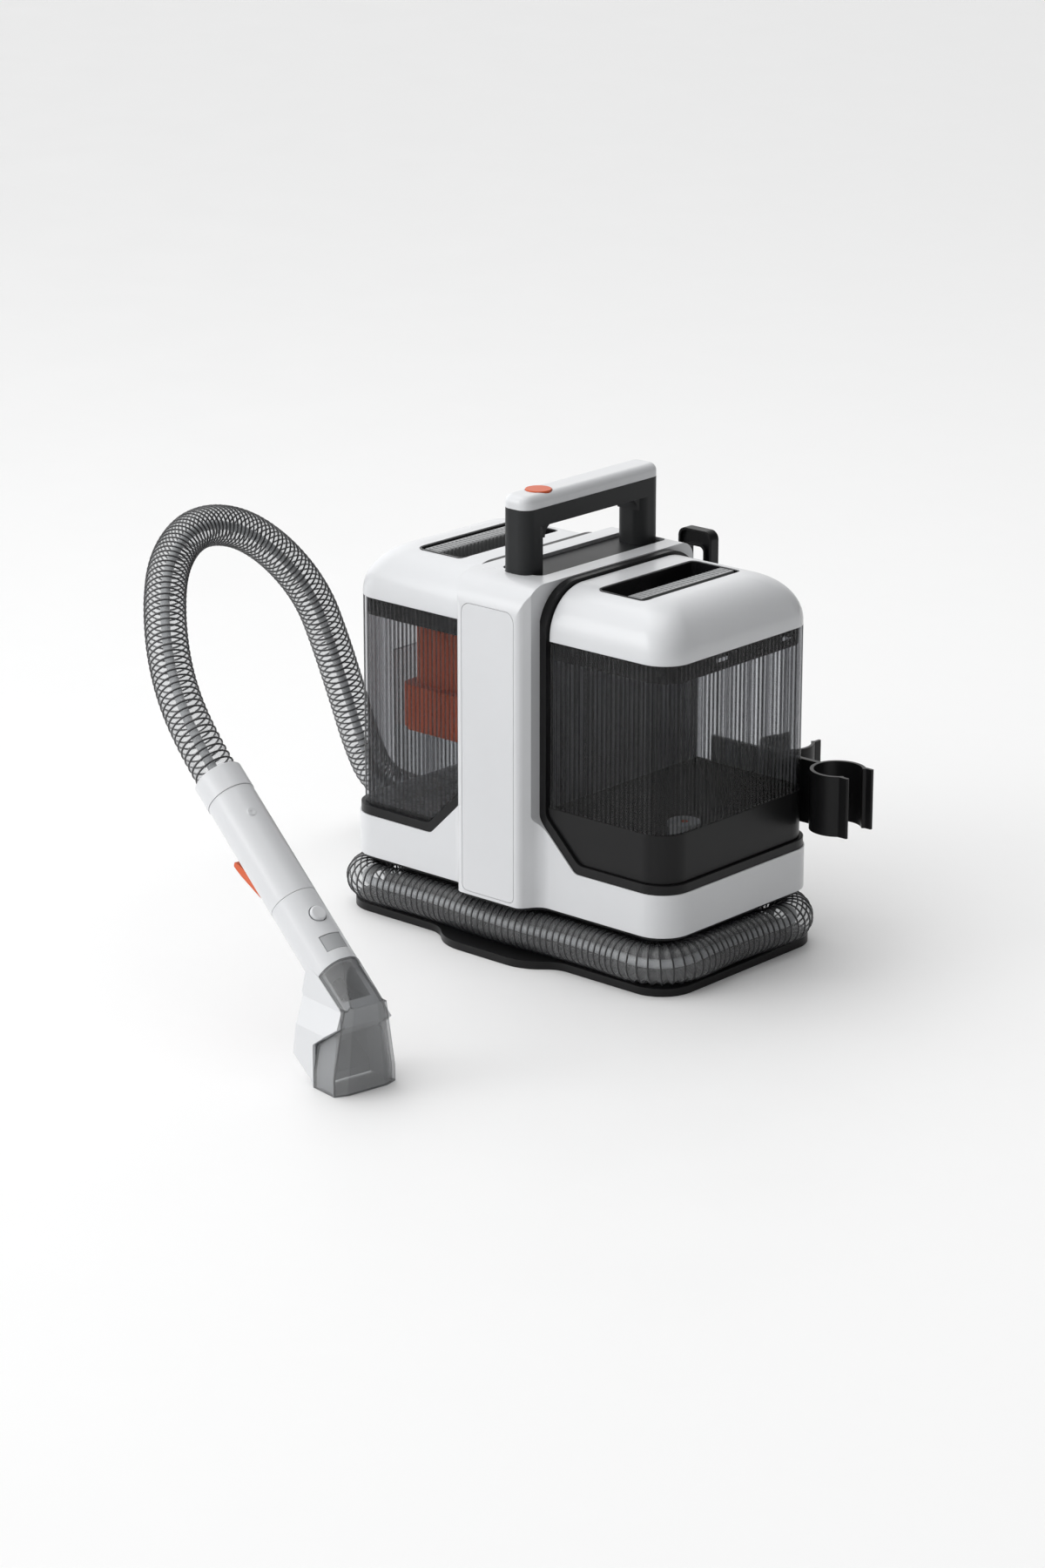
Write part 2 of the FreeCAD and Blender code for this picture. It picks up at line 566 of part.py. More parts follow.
# ---- inside the spine ---------------------------------------------------------------------------------
def suction_motor():
    centre = Vector(0, MOTOR_Y, MOTOR_Z)
    up = Vector(0, 0, 1)
    can = tube(MOTOR_R, MOTOR_R - 2.0, centre, up, 30.0)
    base = rod(MOTOR_R, centre - up * 2.0, up, 2.2)
    top = tube(MOTOR_R, 9.0, centre + up * 30.0, up, 2.0)
    coil_can = rod(21.0, centre - up * 44.0, up, 42.5)
    motor = fuse([can, base, top, coil_can])
    motor = motor.cut(rod(3.05, centre - up * 30.0, up, 40.0))
    for i in range(6):
        vent = block(MOTOR_R - 6.0, MOTOR_R + 4.0, -5.0, 5.0, 4.0, 12.0)
        vent.rotate(Vector(0, 0, 0), up, 60.0 * i)
        vent.translate(centre)
        motor = motor.cut(vent)
    return motor


def motor_impeller():
    centre = Vector(0, MOTOR_Y, MOTOR_Z)
    up = Vector(0, 0, 1)
    shaft = rod(3.0, centre - up * 26.0, up, 44.0)
    disc = rod(26.0, centre + up * 8.0, up, 1.6)
    wheel = [shaft, disc]
    for i in range(9):
        blade = block(6.0, 25.5, -0.7, 0.7, 9.0, 20.0)
        blade.rotate(Vector(12.0, 0, 0), up, 32.0)
        blade.rotate(Vector(0, 0, 0), up, 40.0 * i)
        blade.translate(centre)
        wheel.append(blade)
    hub = rod(8.0, centre + up * 8.0, up, 12.0)
    return fuse(wheel + [hub])


def motor_mount():
    """Rubber cradle between the motor and the housing."""
    ring = tube(32.7, 31.1, Vector(0, MOTOR_Y, MOTOR_Z + 14.0), Vector(0, 0, 1), 12.0)
    seat = rounded_block(-33.0, 33.0, MOTOR_Y - 33.0, MOTOR_Y + 33.0, MOTOR_Z - 8.0, MOTOR_Z - 2.0, 6.0)
    seat = seat.cut(rod(21.1, Vector(0, MOTOR_Y, MOTOR_Z - 20.0), Vector(0, 0, 1), 40.0))
    return Part.makeCompound([ring, seat])


def water_pump():
    body = rounded_block(-20.0, 20.0, PUMP_Y - 17.0, PUMP_Y + 17.0, 50.0, 84.0, 5.0)
    head = rod(15.0, Vector(0, PUMP_Y, 84.0), Vector(0, 0, 1), 26.0)
    spout = rod(4.0, Vector(18.0, PUMP_Y, 62.0), Vector(1, 0, 0), 10.0)
    feet = block(-26.0, 26.0, PUMP_Y - 14.0, PUMP_Y + 14.0, 44.0, 51.0)
    return fuse([body, head, spout, feet])


def circuit_board():
    board = block(-26.0, 26.0, -98.0, -96.4, 130.0, 200.0)
    parts = [rod(6.0, Vector(-14.0, -96.5, 184.0), Vector(0, 1, 0), 14.0),
             block(4.0, 22.0, -96.6, -86.0, 174.0, 192.0), block(-20.0, -4.0, -96.6, -90.0, 140.0, 160.0),
             block(2.0, 20.0, -96.6, -92.0, 138.0, 150.0)]
    return fuse([board] + parts)


def suction_duct():
    """Air path from the port beside the dirty tank's lid down to the motor's eye."""
    bottom = MOTOR_Z + 32.0
    up = Vector(0, 0, 1)
    riser = rod(13.0, Vector(0, MOTOR_Y, bottom), up, PORT_Z + 12.0 - bottom)
    cross = rod(10.8, Vector(-SPINE_HALF + WALL, PORT_Y, PORT_Z), Vector(1, 0, 0), SPINE_HALF - WALL)
    bore = rod(10.0, Vector(0, MOTOR_Y, bottom - 1.0), up, PORT_Z + 10.0 - bottom)
    side = rod(8.8, Vector(-SPINE_HALF, PORT_Y, PORT_Z), Vector(1, 0, 0), SPINE_HALF - 1.0)
    return riser.fuse(cross).cut(bore).cut(side)


def exhaust_duct():
    """Open trunk from the motor's side vents to the grille in the rear cover."""
    outer = block(-24.0, 24.0, 60.5, HALF_D - WALL - 0.2, 170.0, 236.0)
    inner = block(-22.0, 22.0, 55.0, HALF_D, 172.0, 234.0)
    return outer.cut(inner)


def water_line():
    """Rigid elbow from the pump's spout to the clean tank's dock."""
    run = rod(3.5, Vector(28.2, PUMP_Y, 62.0), Vector(1, 0, 0), VALVE_X - 28.2)
    turn = rod(3.5, Vector(VALVE_X, PUMP_Y - 3.5, 62.0), Vector(0, 1, 0), 7.0 - PUMP_Y)
    rise = rod(3.5, Vector(VALVE_X, 0, 58.6), Vector(0, 0, 1), 6.0)
    cup = rod(11.0, Vector(VALVE_X, 0, 64.0), Vector(0, 0, 1), 9.8)
    cup = cup.cut(rod(9.5, Vector(VALVE_X, 0, 66.0), Vector(0, 0, 1), 10.0))
    return fuse([run, turn, rise, cup])


# ---- rear ---------------------------------------------------------------------------------------------
def hose_outlet_cuff():
    barrel = tube(16.1, 12.0, Vector(CUFF_X - 0.1, CUFF_Y, CHANNEL_Z), Vector(-1, 0, 0), 30.0)
    elbow = rounded_block(22.0, 46.0, 65.3, 106.5, TRAY_TOP, PLATE_BOTTOM, 4.0)
    ribs = [tube(16.9, 15.0, Vector(CUFF_X - x, CUFF_Y, CHANNEL_Z), Vector(-1, 0, 0), 2.0)
            for x in (8.0, 14.0, 20.0)]
    ribs = [r.common(block(0, 100, 0, 200, TRAY_TOP, PLATE_BOTTOM)) for r in ribs]
    bore = rod(12.0, Vector(CUFF_X + 1.0, CUFF_Y, CHANNEL_Z), Vector(-1, 0, 0), 44.0)
    return fuse([barrel, elbow] + ribs).cut(bore)


def clip(centre, turn, z0, z1):
    """C-shaped spring clip, open along +X before it is turned about its centre."""
    ring = tube(CLIP_R + CLIP_WALL, CLIP_R, Vector(0, 0, z0), Vector(0, 0, 1), z1 - z0)
    mouth = outline([(0, 0, 0), (40.0, -34.0, 0), (40.0, 34.0, 0)], "xy", z0 - 1.0)
    ring = ring.cut(mouth.extrude(Vector(0, 0, z1 - z0 + 2.0)))
    lips = []
    for side in (-1, 1):
        lip = rounded_block(13.2, 21.5, side * 15.1 - 1.4, side * 15.1 + 1.4, z0, z1, 1.2)
        lips.append(lip)
    shape = fuse([ring] + lips)
    shape.rotate(Vector(0, 0, 0), Vector(0, 0, 1), turn)
    shape.translate(Vector(centre[0], centre[1], 0))
    return shape


def tool_holder():
    plate = block(56.0, 152.0, HALF_D, HALF_D + 4.0, 90.0, 140.0)
    tongue = block(60.0, 134.0, HALF_D, HALF_D + 4.0, 50.0, 91.0)
    front = clip(CLIP, 0.0, 93.0, 140.0)
    back = clip(BACK_CLIP, 90.0, 94.0, 141.0)
    arm = block(148.0, 166.0, HALF_D - 1.5, HALF_D + 4.0, 93.0, 140.0).cut(
        rod(CLIP_R, Vector(CLIP[0], CLIP[1], 80.0), Vector(0, 0, 1), 80.0))
    arm = arm.cut(block(140.0, 162.0, HALF_D - 4.0, HALF_D - 0.0001, 80.0, 150.0))
    web = block(BACK_CLIP[0] - 5.0, BACK_CLIP[0] + 5.0, HALF_D + 3.0, HALF_D + 6.0, 94.0, 140.0)
    return fuse([plate, tongue, front, back, arm, web])


def cord_hook():
    """Cord wrap: an arm from the rear cover with an upright hoop of channel section at its end."""
    arm = rounded_block(-12.0, 12.0, HALF_D, HOOK_Y + 4.0, 236.0, 246.0, 2.0)
    hoop = outline([(-16.5, 236.0, 5.0), (16.5, 236.0, 5.0), (16.5, HOOK_TOP, 7.0), (-16.5, HOOK_TOP, 7.0)],
                   "xz", HOOK_Y).extrude(Vector(0, 9.0, 0))
    eye = outline([(-8.5, 248.0, 3.0), (8.5, 248.0, 3.0), (8.5, 272.0, 4.0), (-8.5, 272.0, 4.0)],
                  "xz", HOOK_Y - 1.0).extrude(Vector(0, 12.0, 0))
    channel = outline([(-14.7, 240.0, 3.0), (14.7, 240.0, 3.0), (14.7, HOOK_TOP - 1.8, 5.5),
                       (-14.7, HOOK_TOP - 1.8, 5.5)], "xz", HOOK_Y - 1.0).extrude(Vector(0, 4.5, 0))
    rim = outline([(-10.3, 246.0, 3.0), (10.3, 246.0, 3.0), (10.3, 273.8, 5.0), (-10.3, 273.8, 5.0)],
                  "xz", HOOK_Y - 1.0).extrude(Vector(0, 4.5, 0))
    return fuse([arm, hoop.cut(channel.cut(rim))]).cut(eye)


def cord_inlet():
    """Strain-relief gland that the mains lead would leave by."""
    y = HALF_D - 6.0
    gland = rod(5.4, Vector(0, y, INLET_Z), Vector(0, 1, 0), 12.0)
    collar = rod(8.5, Vector(0, HALF_D, INLET_Z), Vector(0, 1, 0), 2.5)
    sleeve = Part.makeCone(6.0, 4.2, 18.0, Vector(0, HALF_D + 2.0, INLET_Z), Vector(0, 1, 0))
    bore = rod(3.3, Vector(0, y - 1.0, INLET_Z), Vector(0, 1, 0), 40.0)
    return fuse([gland, collar, sleeve]).cut(bore)


# ---- hose ---------------------------------------------------------------------------------------------
def along(s, n=0.0, y=0.0):
    """Point of the hand tool at s up its grip, n out of its top side and y across."""
    return TOOL_ZERO + TOOL_AXIS * s + TOOL_NORMAL * n + Vector(0, y, 0)


def to_row(point):
    turned = FreeCAD.Rotation(Vector(0, 0, 1), TOOL_TURN).multVec(point)
    return turned + TOOL_PLACE


def hose_route():
    """Points from the hand tool's cuff, over the arch, down to the floor and round the base to the outlet."""
    z = CHANNEL_Z
    arch = [(-128, -305, 239), (-168, -273, 274), (-205, -231, 298), (-233, -177, 308), (-249, -118, 295),
            (-255, -68, 264), (-260, -24, 219), (-267, 3, 172), (-271, 25, 124), (-273, 43, 79),
            (-277, 66, 40), (-272, 103, 17)]
    floor = [(-243, 139, 16.3), (-199, 152, 16.5), (-165, 126, 21)]
    channel = [(-156, 84, z), (-154, -5, z), (-163, -90, z), (-80, -84, z), (0, -91, z), (80, -84, z),
               (162, -90, z), (155, 0, z), (167, CUFF_Y, z), (CUFF_X, CUFF_Y, z)]
    first = [to_row(along(HOSE_START + 0.1)), to_row(along(200.0))]
    return first + [Vector(*p) for p in arch + floor + channel]


def suction_hose():
    points = hose_route()
    edges = []
    last = points[0]
    length = 0.0
    radii = []
    for i in range(1, len(points) - 1):
        here = points[i]
        into = (here - points[i - 1]).normalize()
        out = (points[i + 1] - here).normalize()
        turn = into.getAngle(out)
        shorter = min((here - points[i - 1]).Length, (points[i + 1] - here).Length)
        radius = 0.45 * shorter / math.tan(turn / 2)
        radii.append(round(radius))
        start = here - into * (0.45 * shorter)
        end = here + out * (0.45 * shorter)
        middle = here + (out - into).normalize() * (radius / math.cos(turn / 2) - radius)
        edges.append(Part.LineSegment(last, start).toShape())
        edges.append(Part.Arc(start, middle, end).toShape())
        length += (start - last).Length + radius * turn
        last = end
    edges.append(Part.LineSegment(last, points[-1]).toShape())
    length += (points[-1] - last).Length
    direction = (points[1] - points[0]).normalize()
    section = Part.Wire(Part.makeCircle(HOSE_R, points[0], direction))
    hose = Part.Wire(edges).makePipeShell([section], True, True)
    print("hose length", round(length), "bend radii", radii)
    print("hose volume over section times length", round(hose.Volume / (math.pi * HOSE_R ** 2 * length), 4))
    return hose


# ---- hand tool ----------------------------------------------------------------------------------------
def placed(shape):
    """From the hand tool's frame to the machine's."""
    shape = shape.copy()
    shape.rotate(Vector(0, 0, 0), Vector(0, 0, 1), TOOL_TURN)
    shape.translate(TOOL_PLACE)
    return shape


def grip_tube(r_out, r_in, s0, s1):
    return tube(r_out, r_in, along(s0), TOOL_AXIS, s1 - s0)


def side_profile(corners, half_width):
    """Prism across the hand tool from (s, n, radius) corners in its side view."""
    flat = []
    for s, n, r in corners:
        p = along(s, n)
        flat.append((p.x, p.z, r))
    return outline(flat, "xz", -half_width).extrude(Vector(0, 2 * half_width, 0))


def head_profile(corners, half_width):
    """Prism across the hand tool from plain (x, z, radius) corners."""
    return outline(corners, "xz", -half_width).extrude(Vector(0, 2 * half_width, 0))


def side_box(s0, s1, n0, n1, half_width):
    """Box across the hand tool, square to its grip."""
    return side_profile([(s0, n0, 0), (s0, n1, 0), (s1, n1, 0), (s1, n0, 0)], half_width)


def trigger_bore():
    return rod(2.05, along(TRIGGER_S, TRIGGER_N, -20.0), Vector(0, 1, 0), 40.0)


def hand_tool_grip():
    shell = grip_tube(GRIP_R, GRIP_R - GRIP_WALL, NECK_END + 0.3, CUFF_START)
    spigot = grip_tube(GRIP_R - GRIP_WALL - 0.4, GRIP_R - 5.0, 26.0, NECK_END + 6.0)
    collar = grip_tube(GRIP_R - 1.0, GRIP_R - 5.0, NECK_END + 0.3, NECK_END + 6.0)
    shell = fuse([shell, spigot, collar]).cut(side_box(57.5, 110.0, -25.0, -11.0, 7.0))
    pin_boss = grip_tube(GRIP_R - 0.5, GRIP_R - 5.0, 57.0, 71.0)
    pin_boss = pin_boss.cut(side_box(50.0, 80.0, -25.0, -8.0, 7.0))
    pin_boss = pin_boss.common(side_box(57.0, 71.0, -25.0, -8.0, 20.0))
    return shell.fuse(pin_boss).cut(trigger_bore()).removeSplitter()


def trigger_pin():
    return rod(2.0, along(TRIGGER_S, TRIGGER_N, -10.2), Vector(0, 1, 0), 20.4)


def hand_tool_trigger():
    blade = side_profile([(60.0, -12.0, 1.5), (60.5, -18.6, 2.0), (74.0, -23.0, 6.0), (97.0, -29.0, 8.0),
                          (107.0, -30.5, 1.6), (108.5, -26.5, 1.6), (98.0, -22.5, 4.0), (84.0, -17.0, 6.0),
                          (70.0, -11.6, 2.0)], 6.2)
    return blade.cut(trigger_bore())


def trigger_spring():
    return coil(2.4, 0.6, 1.8, 6.0, along(96.0, -20.3), TOOL_NORMAL)


def spray_valve():
    body = rod(4.6, along(80.0, -8.4), TOOL_AXIS, 30.0)
    clip_up = side_box(88.0, 104.0, -9.0, 4.0, 2.0)
    yoke = grip_tube(GRIP_R - GRIP_WALL, GRIP_R - 4.5, 88.0, 104.0)
    yoke = yoke.common(side_box(80.0, 110.0, 3.0, 18.0, 20.0))
    post = side_box(92.0, 100.0, 3.0, 14.5, 1.5)
    return fuse([body, clip_up, post, yoke])


def hand_tool_cuff():
    outer = grip_tube(GRIP_R + 0.4, HOSE_R + 0.3, HOSE_START, CUFF_END)
    collar = grip_tube(GRIP_R + 0.4, 12.0, CUFF_START + 0.2, HOSE_START)
    return fuse([outer, collar])


def grip_screw():
    head = rod(3.4, along(119.0, GRIP_R - 1.6, -3.0), TOOL_NORMAL, 1.6)
    shank = rod(1.5, along(119.0, GRIP_R - 6.0, -3.0), TOOL_NORMAL, 6.0)
    recess = rod(1.2, along(119.0, GRIP_R - 0.8, -3.0), TOOL_NORMAL, 2.0)
    return head.fuse(shank).cut(recess).removeSplitter()


# the nozzle's seam between the white body and the clear window, in side view
SEAM = [(-32.5, 78.9), (-6.0, 60.5), (-3.5, 49.0), (-27.5, 32.0), (-27.5, 0.0)]


def mouth_taper(half_low, half_high, z_low, z_high, inset=0.0):
    """Front view of the head: wide at the mouth, narrow at the neck."""
    low = half_low - inset
    high = half_high - inset
    corners = [(-low, -1.0, 0), (low, -1.0, 0), (low, z_low, 0), (high, z_high, 0), (high, 130.0, 0),
               (-high, 130.0, 0), (-high, z_high, 0), (-low, z_low, 0)]
    return outline(corners, "yz", -120.0).extrude(Vector(200.0, 0, 0))


def nozzle_rear(inset):
    """White rear of the head: a wedge that widens from the neck to the mouth."""
    i = inset
    corners = [(-27.5, 0.0 - i, 0), (-31.0 + i, 6.0, 0), (-51.0 + i, 19.0, 0), (-47.0 + i, 44.0, 3.0),
               (-52.0 + i * 0.5, 63.0, 0), (-46.0, 84.0 - i, 0), (-32.5, 78.9 - i, 0), (-6.0 - i, 60.5 - i, 0),
               (-3.5 - i, 49.0, 0), (-27.5, 32.0 - i * 0.3, 0)]
    return head_profile(corners, 60.0).common(mouth_taper(MOUTH_HALF + 0.6, GRIP_R, 42.0, 60.0, inset))


def neck_half():
    """The part of the neck behind the window's seam."""
    return side_profile([(-13.5, 22.0, 0), (-13.5, 17.0, 3.0), (-17.0, 5.5, 2.0), (-60.0, 5.5, 0),
                         (-60.0, 40.0, 0), (-13.5, 40.0, 0)], 30.0)


def nozzle_body():
    neck = rod(GRIP_R, along(-26.0), TOOL_AXIS, NECK_END + 26.0).cut(neck_half())
    hollow = rod(GRIP_R - GRIP_WALL, along(-12.0), TOOL_AXIS, NECK_END + 20.0)
    throat = rod(GRIP_R - 5.0, along(-40.0), TOOL_AXIS, 40.0)
    body = fuse([neck, nozzle_rear(0.0)]).cut(hollow).cut(nozzle_rear(2.4)).cut(throat)
    body = body.cut(window_solid(-0.3, 0.05))
    body = body.cut(rod(BUTTON_BORE, along(RELEASE_S, 10.0), TOOL_NORMAL, 20.0))
    body = body.cut(side_box(-4.4, 8.6, 10.0, 30.0, 8.7))
    body = max(body.Solids, key=lambda s: s.Volume)
    return body.fuse(nozzle_cheeks()).removeSplitter()


def nozzle_cheeks():
    """White side walls of the suction channel, just inside the clear window."""
    sheath = window_solid(2.1, -3.0).cut(window_solid(4.0, -3.0))
    band = head_profile([(-29.0, 1.0, 0), (-7.0, 1.0, 0), (-9.0, 44.0, 4.0), (-29.0, 30.5, 0)], 60.0)
    return sheath.common(band)


def release_button():
    head = rod(6.0, along(RELEASE_S, 16.9), TOOL_NORMAL, 2.9)
    rim = max((e for e in head.Edges if e.isClosed()), key=lambda e: e.CenterOfMass.dot(TOOL_NORMAL))
    return head.makeFillet(1.4, [rim])


def latch_tab():
    """Grey catch of the window, filling the neck's rectangular opening."""
    tab = grip_tube(GRIP_R - 0.3, GRIP_R - 2.4, -4.0, 8.2)
    return tab.common(side_box(-6.0, 10.0, 8.0, 30.0, 8.3))


def bevel_wedge(side, inset):
    """What the bevel takes off one front edge of the window; it leans inwards with the window's taper."""
    x = -inset * 0.94
    y = -inset * 0.35
    start = (-BEVEL_DEPTH + x - 2.22, side * (MOUTH_HALF + y + 6.0), 0)
    end = (2.22 + x, side * (MOUTH_HALF - BEVEL_WIDTH + y - 6.0), 0)
    outer = (12.0, side * (MOUTH_HALF + 12.0), 0)
    return outline([start, end, outer], "xy", -0.1).extrude(Vector(0.6, -side * 6.0, 64.0))


def window_solid(inset, seam):
    """Clear front of the head, from the mouth's lip up over the neck, held off the body's seam by a gap."""
    i = inset
    g = seam
    corners = [(-27.5 + g, 0.0 - i, 0), (0.0 - i, 0.0 - i, 0), (0.6 - i, 64.0 - i * 0.5, 7.0),
               (-18.0 - i, 86.0 - i, 6.0), (-25.5 - i * 0.5, 91.0 - i, 0), (-32.5 + g, 79.2, 0),
               (-6.0 + g, 60.5 + g, 0), (-3.5 + g, 49.0, 0), (-27.5 + g, 32.0 - g, 0)]
    head = head_profile(corners, 60.0).common(mouth_taper(MOUTH_HALF, GRIP_R, 12.0, 64.0, inset))
    round_top = rod(GRIP_R + PROUD - i, along(-60.0), TOOL_AXIS, 80.0)
    square_foot = block(-60.0, 20.0, -40.0, 40.0, -10.0, BROW_Z - i * 0.5)
    head = head.common(round_top.fuse(square_foot))
    for side in (-1, 1):
        head = head.cut(bevel_wedge(side, i))
    return head.removeSplitter()


def nozzle_window():
    shell = window_solid(0.0, 0.35).cut(window_solid(1.8, -3.0))
    return max(shell.Solids, key=lambda s: s.Volume)


def spray_tip():
    body = rod(4.0, along(-30.0, -4.0), TOOL_AXIS, 12.0)
    arm = side_box(-29.0, -22.0, -16.5, -4.0, 1.5)
    tip = rod(2.0, along(-36.0, -4.0), TOOL_AXIS, 7.0)
    return fuse([body, arm, tip])


# ---- all pieces ---------------------------------------------------------------------------------------
MACHINE = {
    "base_tray": base_tray,
    "rubber_feet": rubber_feet,
    "chassis_plate": chassis_plate,
    "chassis_screws": chassis_screws,
    "main_housing": main_housing,
    "front_panel": front_panel,
    "top_panel": top_panel,
    "rear_cover": rear_cover,
    "rear_cover_screws": rear_cover_screws,
    "bay_liner_right": bay_liner_right,
    "bay_liner_left": bay_liner_left,
    "handle_frame": handle_frame,
    "handle_cap": handle_cap,
    "power_button": power_button,
    "power_button_spring": power_button_spring,
    "power_switch": power_switch,
    "clean_tank_foot": clean_tank_foot,
    "clean_tank_body": clean_tank_body,
    "clean_tank_valve": clean_tank_valve,
    "clean_tank_valve_spring": clean_tank_valve_spring,
    "clean_tank_valve_cage": clean_tank_valve_cage,
    "dirty_tank_body": dirty_tank_body,
    "dirty_tank_partition": dirty_tank_partition,
    "separator_tower": separator_tower,
    "separator_float": separator_float,
    "float_cage": float_cage,
    "suction_motor": suction_motor,
    "motor_impeller": motor_impeller,
    "motor_mount": motor_mount,
    "water_pump": water_pump,
    "circuit_board": circuit_board,
    "suction_duct": suction_duct,
    "exhaust_duct": exhaust_duct,
    "water_line": water_line,
    "hose_outlet_cuff": hose_outlet_cuff,
    "suction_hose": suction_hose,
    "tool_holder": tool_holder,
    "cord_hook": cord_hook,
    "cord_inlet": cord_inlet,
}
LID_PARTS = {"lid": lid_shell, "lid_base": lid_base, "grip_pocket": grip_pocket, "grip_bar": grip_bar}
HAND_TOOL = {
    "hand_tool_grip": hand_tool_grip,
    "hand_tool_cuff": hand_tool_cuff,
    "trigger_pin": trigger_pin,
    "hand_tool_trigger": hand_tool_trigger,
    "trigger_spring": trigger_spring,
    "spray_valve": spray_valve,
    "grip_screw": grip_screw,
    "nozzle_body": nozzle_body,
    "nozzle_window": nozzle_window,
    "release_button": release_button,
    "latch_tab": latch_tab,
    "spray_tip": spray_tip,
}

os.makedirs("parts", exist_ok=True)
for name, make in MACHINE.items():
    write(name, make())
for name, make in LID_PARTS.items():
    right = make()
    write("clean_tank_" + name, right)
    write("dirty_tank_" + name, mirrored(right))
for name, make in HAND_TOOL.items():
    write(name, placed(make()))
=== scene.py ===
import bpy
import json
import math
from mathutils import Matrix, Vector

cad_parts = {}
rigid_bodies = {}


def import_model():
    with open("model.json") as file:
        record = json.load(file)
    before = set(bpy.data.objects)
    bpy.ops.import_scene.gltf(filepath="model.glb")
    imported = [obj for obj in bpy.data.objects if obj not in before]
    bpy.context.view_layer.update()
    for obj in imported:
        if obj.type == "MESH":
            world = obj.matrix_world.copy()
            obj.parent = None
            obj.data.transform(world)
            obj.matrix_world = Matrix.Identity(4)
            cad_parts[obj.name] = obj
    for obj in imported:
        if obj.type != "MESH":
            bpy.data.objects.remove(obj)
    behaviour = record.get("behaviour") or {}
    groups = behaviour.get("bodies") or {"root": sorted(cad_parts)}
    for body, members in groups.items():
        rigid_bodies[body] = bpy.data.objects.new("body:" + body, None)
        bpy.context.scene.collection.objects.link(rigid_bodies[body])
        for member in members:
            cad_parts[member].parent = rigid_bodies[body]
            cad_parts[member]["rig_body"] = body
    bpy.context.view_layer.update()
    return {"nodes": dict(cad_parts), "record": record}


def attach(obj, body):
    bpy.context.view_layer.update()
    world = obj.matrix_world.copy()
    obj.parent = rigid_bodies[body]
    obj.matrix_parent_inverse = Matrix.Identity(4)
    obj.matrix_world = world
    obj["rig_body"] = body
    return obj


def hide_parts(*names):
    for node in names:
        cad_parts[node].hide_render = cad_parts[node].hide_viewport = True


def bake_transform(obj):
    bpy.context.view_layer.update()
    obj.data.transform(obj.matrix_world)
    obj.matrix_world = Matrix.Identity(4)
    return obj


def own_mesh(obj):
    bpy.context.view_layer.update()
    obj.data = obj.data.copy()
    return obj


# Visual model of a portable spot extractor. The scene is in metres; the tanks and the hose's route are
# worked out in millimetres.
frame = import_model()
nodes = frame["nodes"]


def mm(*values):
    """Millimetres to metres: one number, or several as a point."""
    return Vector([v / 1000.0 for v in values]) if len(values) > 1 else values[0] / 1000.0


# ---- driving sizes, in millimetres --------------------------------------------------------------------
TANK_X = 158.0             # outer face of a tank
TANK_Y = 86.0              # half its depth
TANK_R = 23.0
TANK_WALL = 2.5
INNER_X = 43.5             # a tank's upright side by the spine
SLANT_NORMAL = (0.6973, 0.7168)   # the slanted bottom corner, in X and Z
SLANT_POINT = (36.0, 113.0)
SLANT_GAP = 7.5
RIB_PITCH = 4.4
RIB_DEPTH = 0.8
RIB_STEPS = 10
CHANNEL_Z = 22.2           # centre of the hose in the base tray
TOOL_PLACE = Vector((121.0, -363.0, 0.0))
TOOL_TURN = math.radians(-10.0)
GRIP_FOOT = (-46.8, 84.8)  # lower end of the grip, in X and Z of the hand tool
GRIP_UP = (0.7953, 0.6062)   # how far back and how far up one step along the grip goes
HOSE_END = 151.1           # distance up the grip at which the hose ends
HOSE_LEAD = 200.0          # distance of the bend's first control point, in line with the grip

# ---- driving sizes of the hose, in metres -------------------------------------------------------------
LINE_STEP = 0.001
SPIRAL_PITCH = 0.0060
SPIRAL_LINE = 0.0152       # radius that the spiral's wire is wound at
WIRE_R = 0.0007
FILM_LOW = 0.0139
FILM_WAVE = 0.0014
WATER_R = 0.0035


# ---- materials ----------------------------------------------------------------------------------------
def new_material(name):
    m = bpy.data.materials.new(name)
    m.use_nodes = True
    tree = m.node_tree
    tree.nodes.clear()
    out = tree.nodes.new("ShaderNodeOutputMaterial")
    return m, tree, out


def object_coords(tree):
    return tree.nodes.new("ShaderNodeTexCoord").outputs["Object"]


def noise(tree, scale, detail):
    n = tree.nodes.new("ShaderNodeTexNoise")
    n.inputs["Scale"].default_value = scale
    n.inputs["Detail"].default_value = detail
    tree.links.new(object_coords(tree), n.inputs["Vector"])
    return n.outputs["Fac"]


def spread(tree, fac, low_value, high_value):
    r = tree.nodes.new("ShaderNodeMapRange")
    r.inputs["From Min"].default_value = 0.3
    r.inputs["From Max"].default_value = 0.7
    r.inputs["To Min"].default_value = low_value
    r.inputs["To Max"].default_value = high_value
    tree.links.new(fac, r.inputs["Value"])
    return r.outputs["Result"]


def math_node(tree, operation, first, second=0.0):
    """Result of one arithmetic step; each input is a socket or a plain number."""
    n = tree.nodes.new("ShaderNodeMath")
    n.operation = operation
    for socket, value in zip(n.inputs, (first, second)):
        if isinstance(value, float):
            socket.default_value = value
        else:
            tree.links.new(value, socket)
    return n.outputs["Value"]


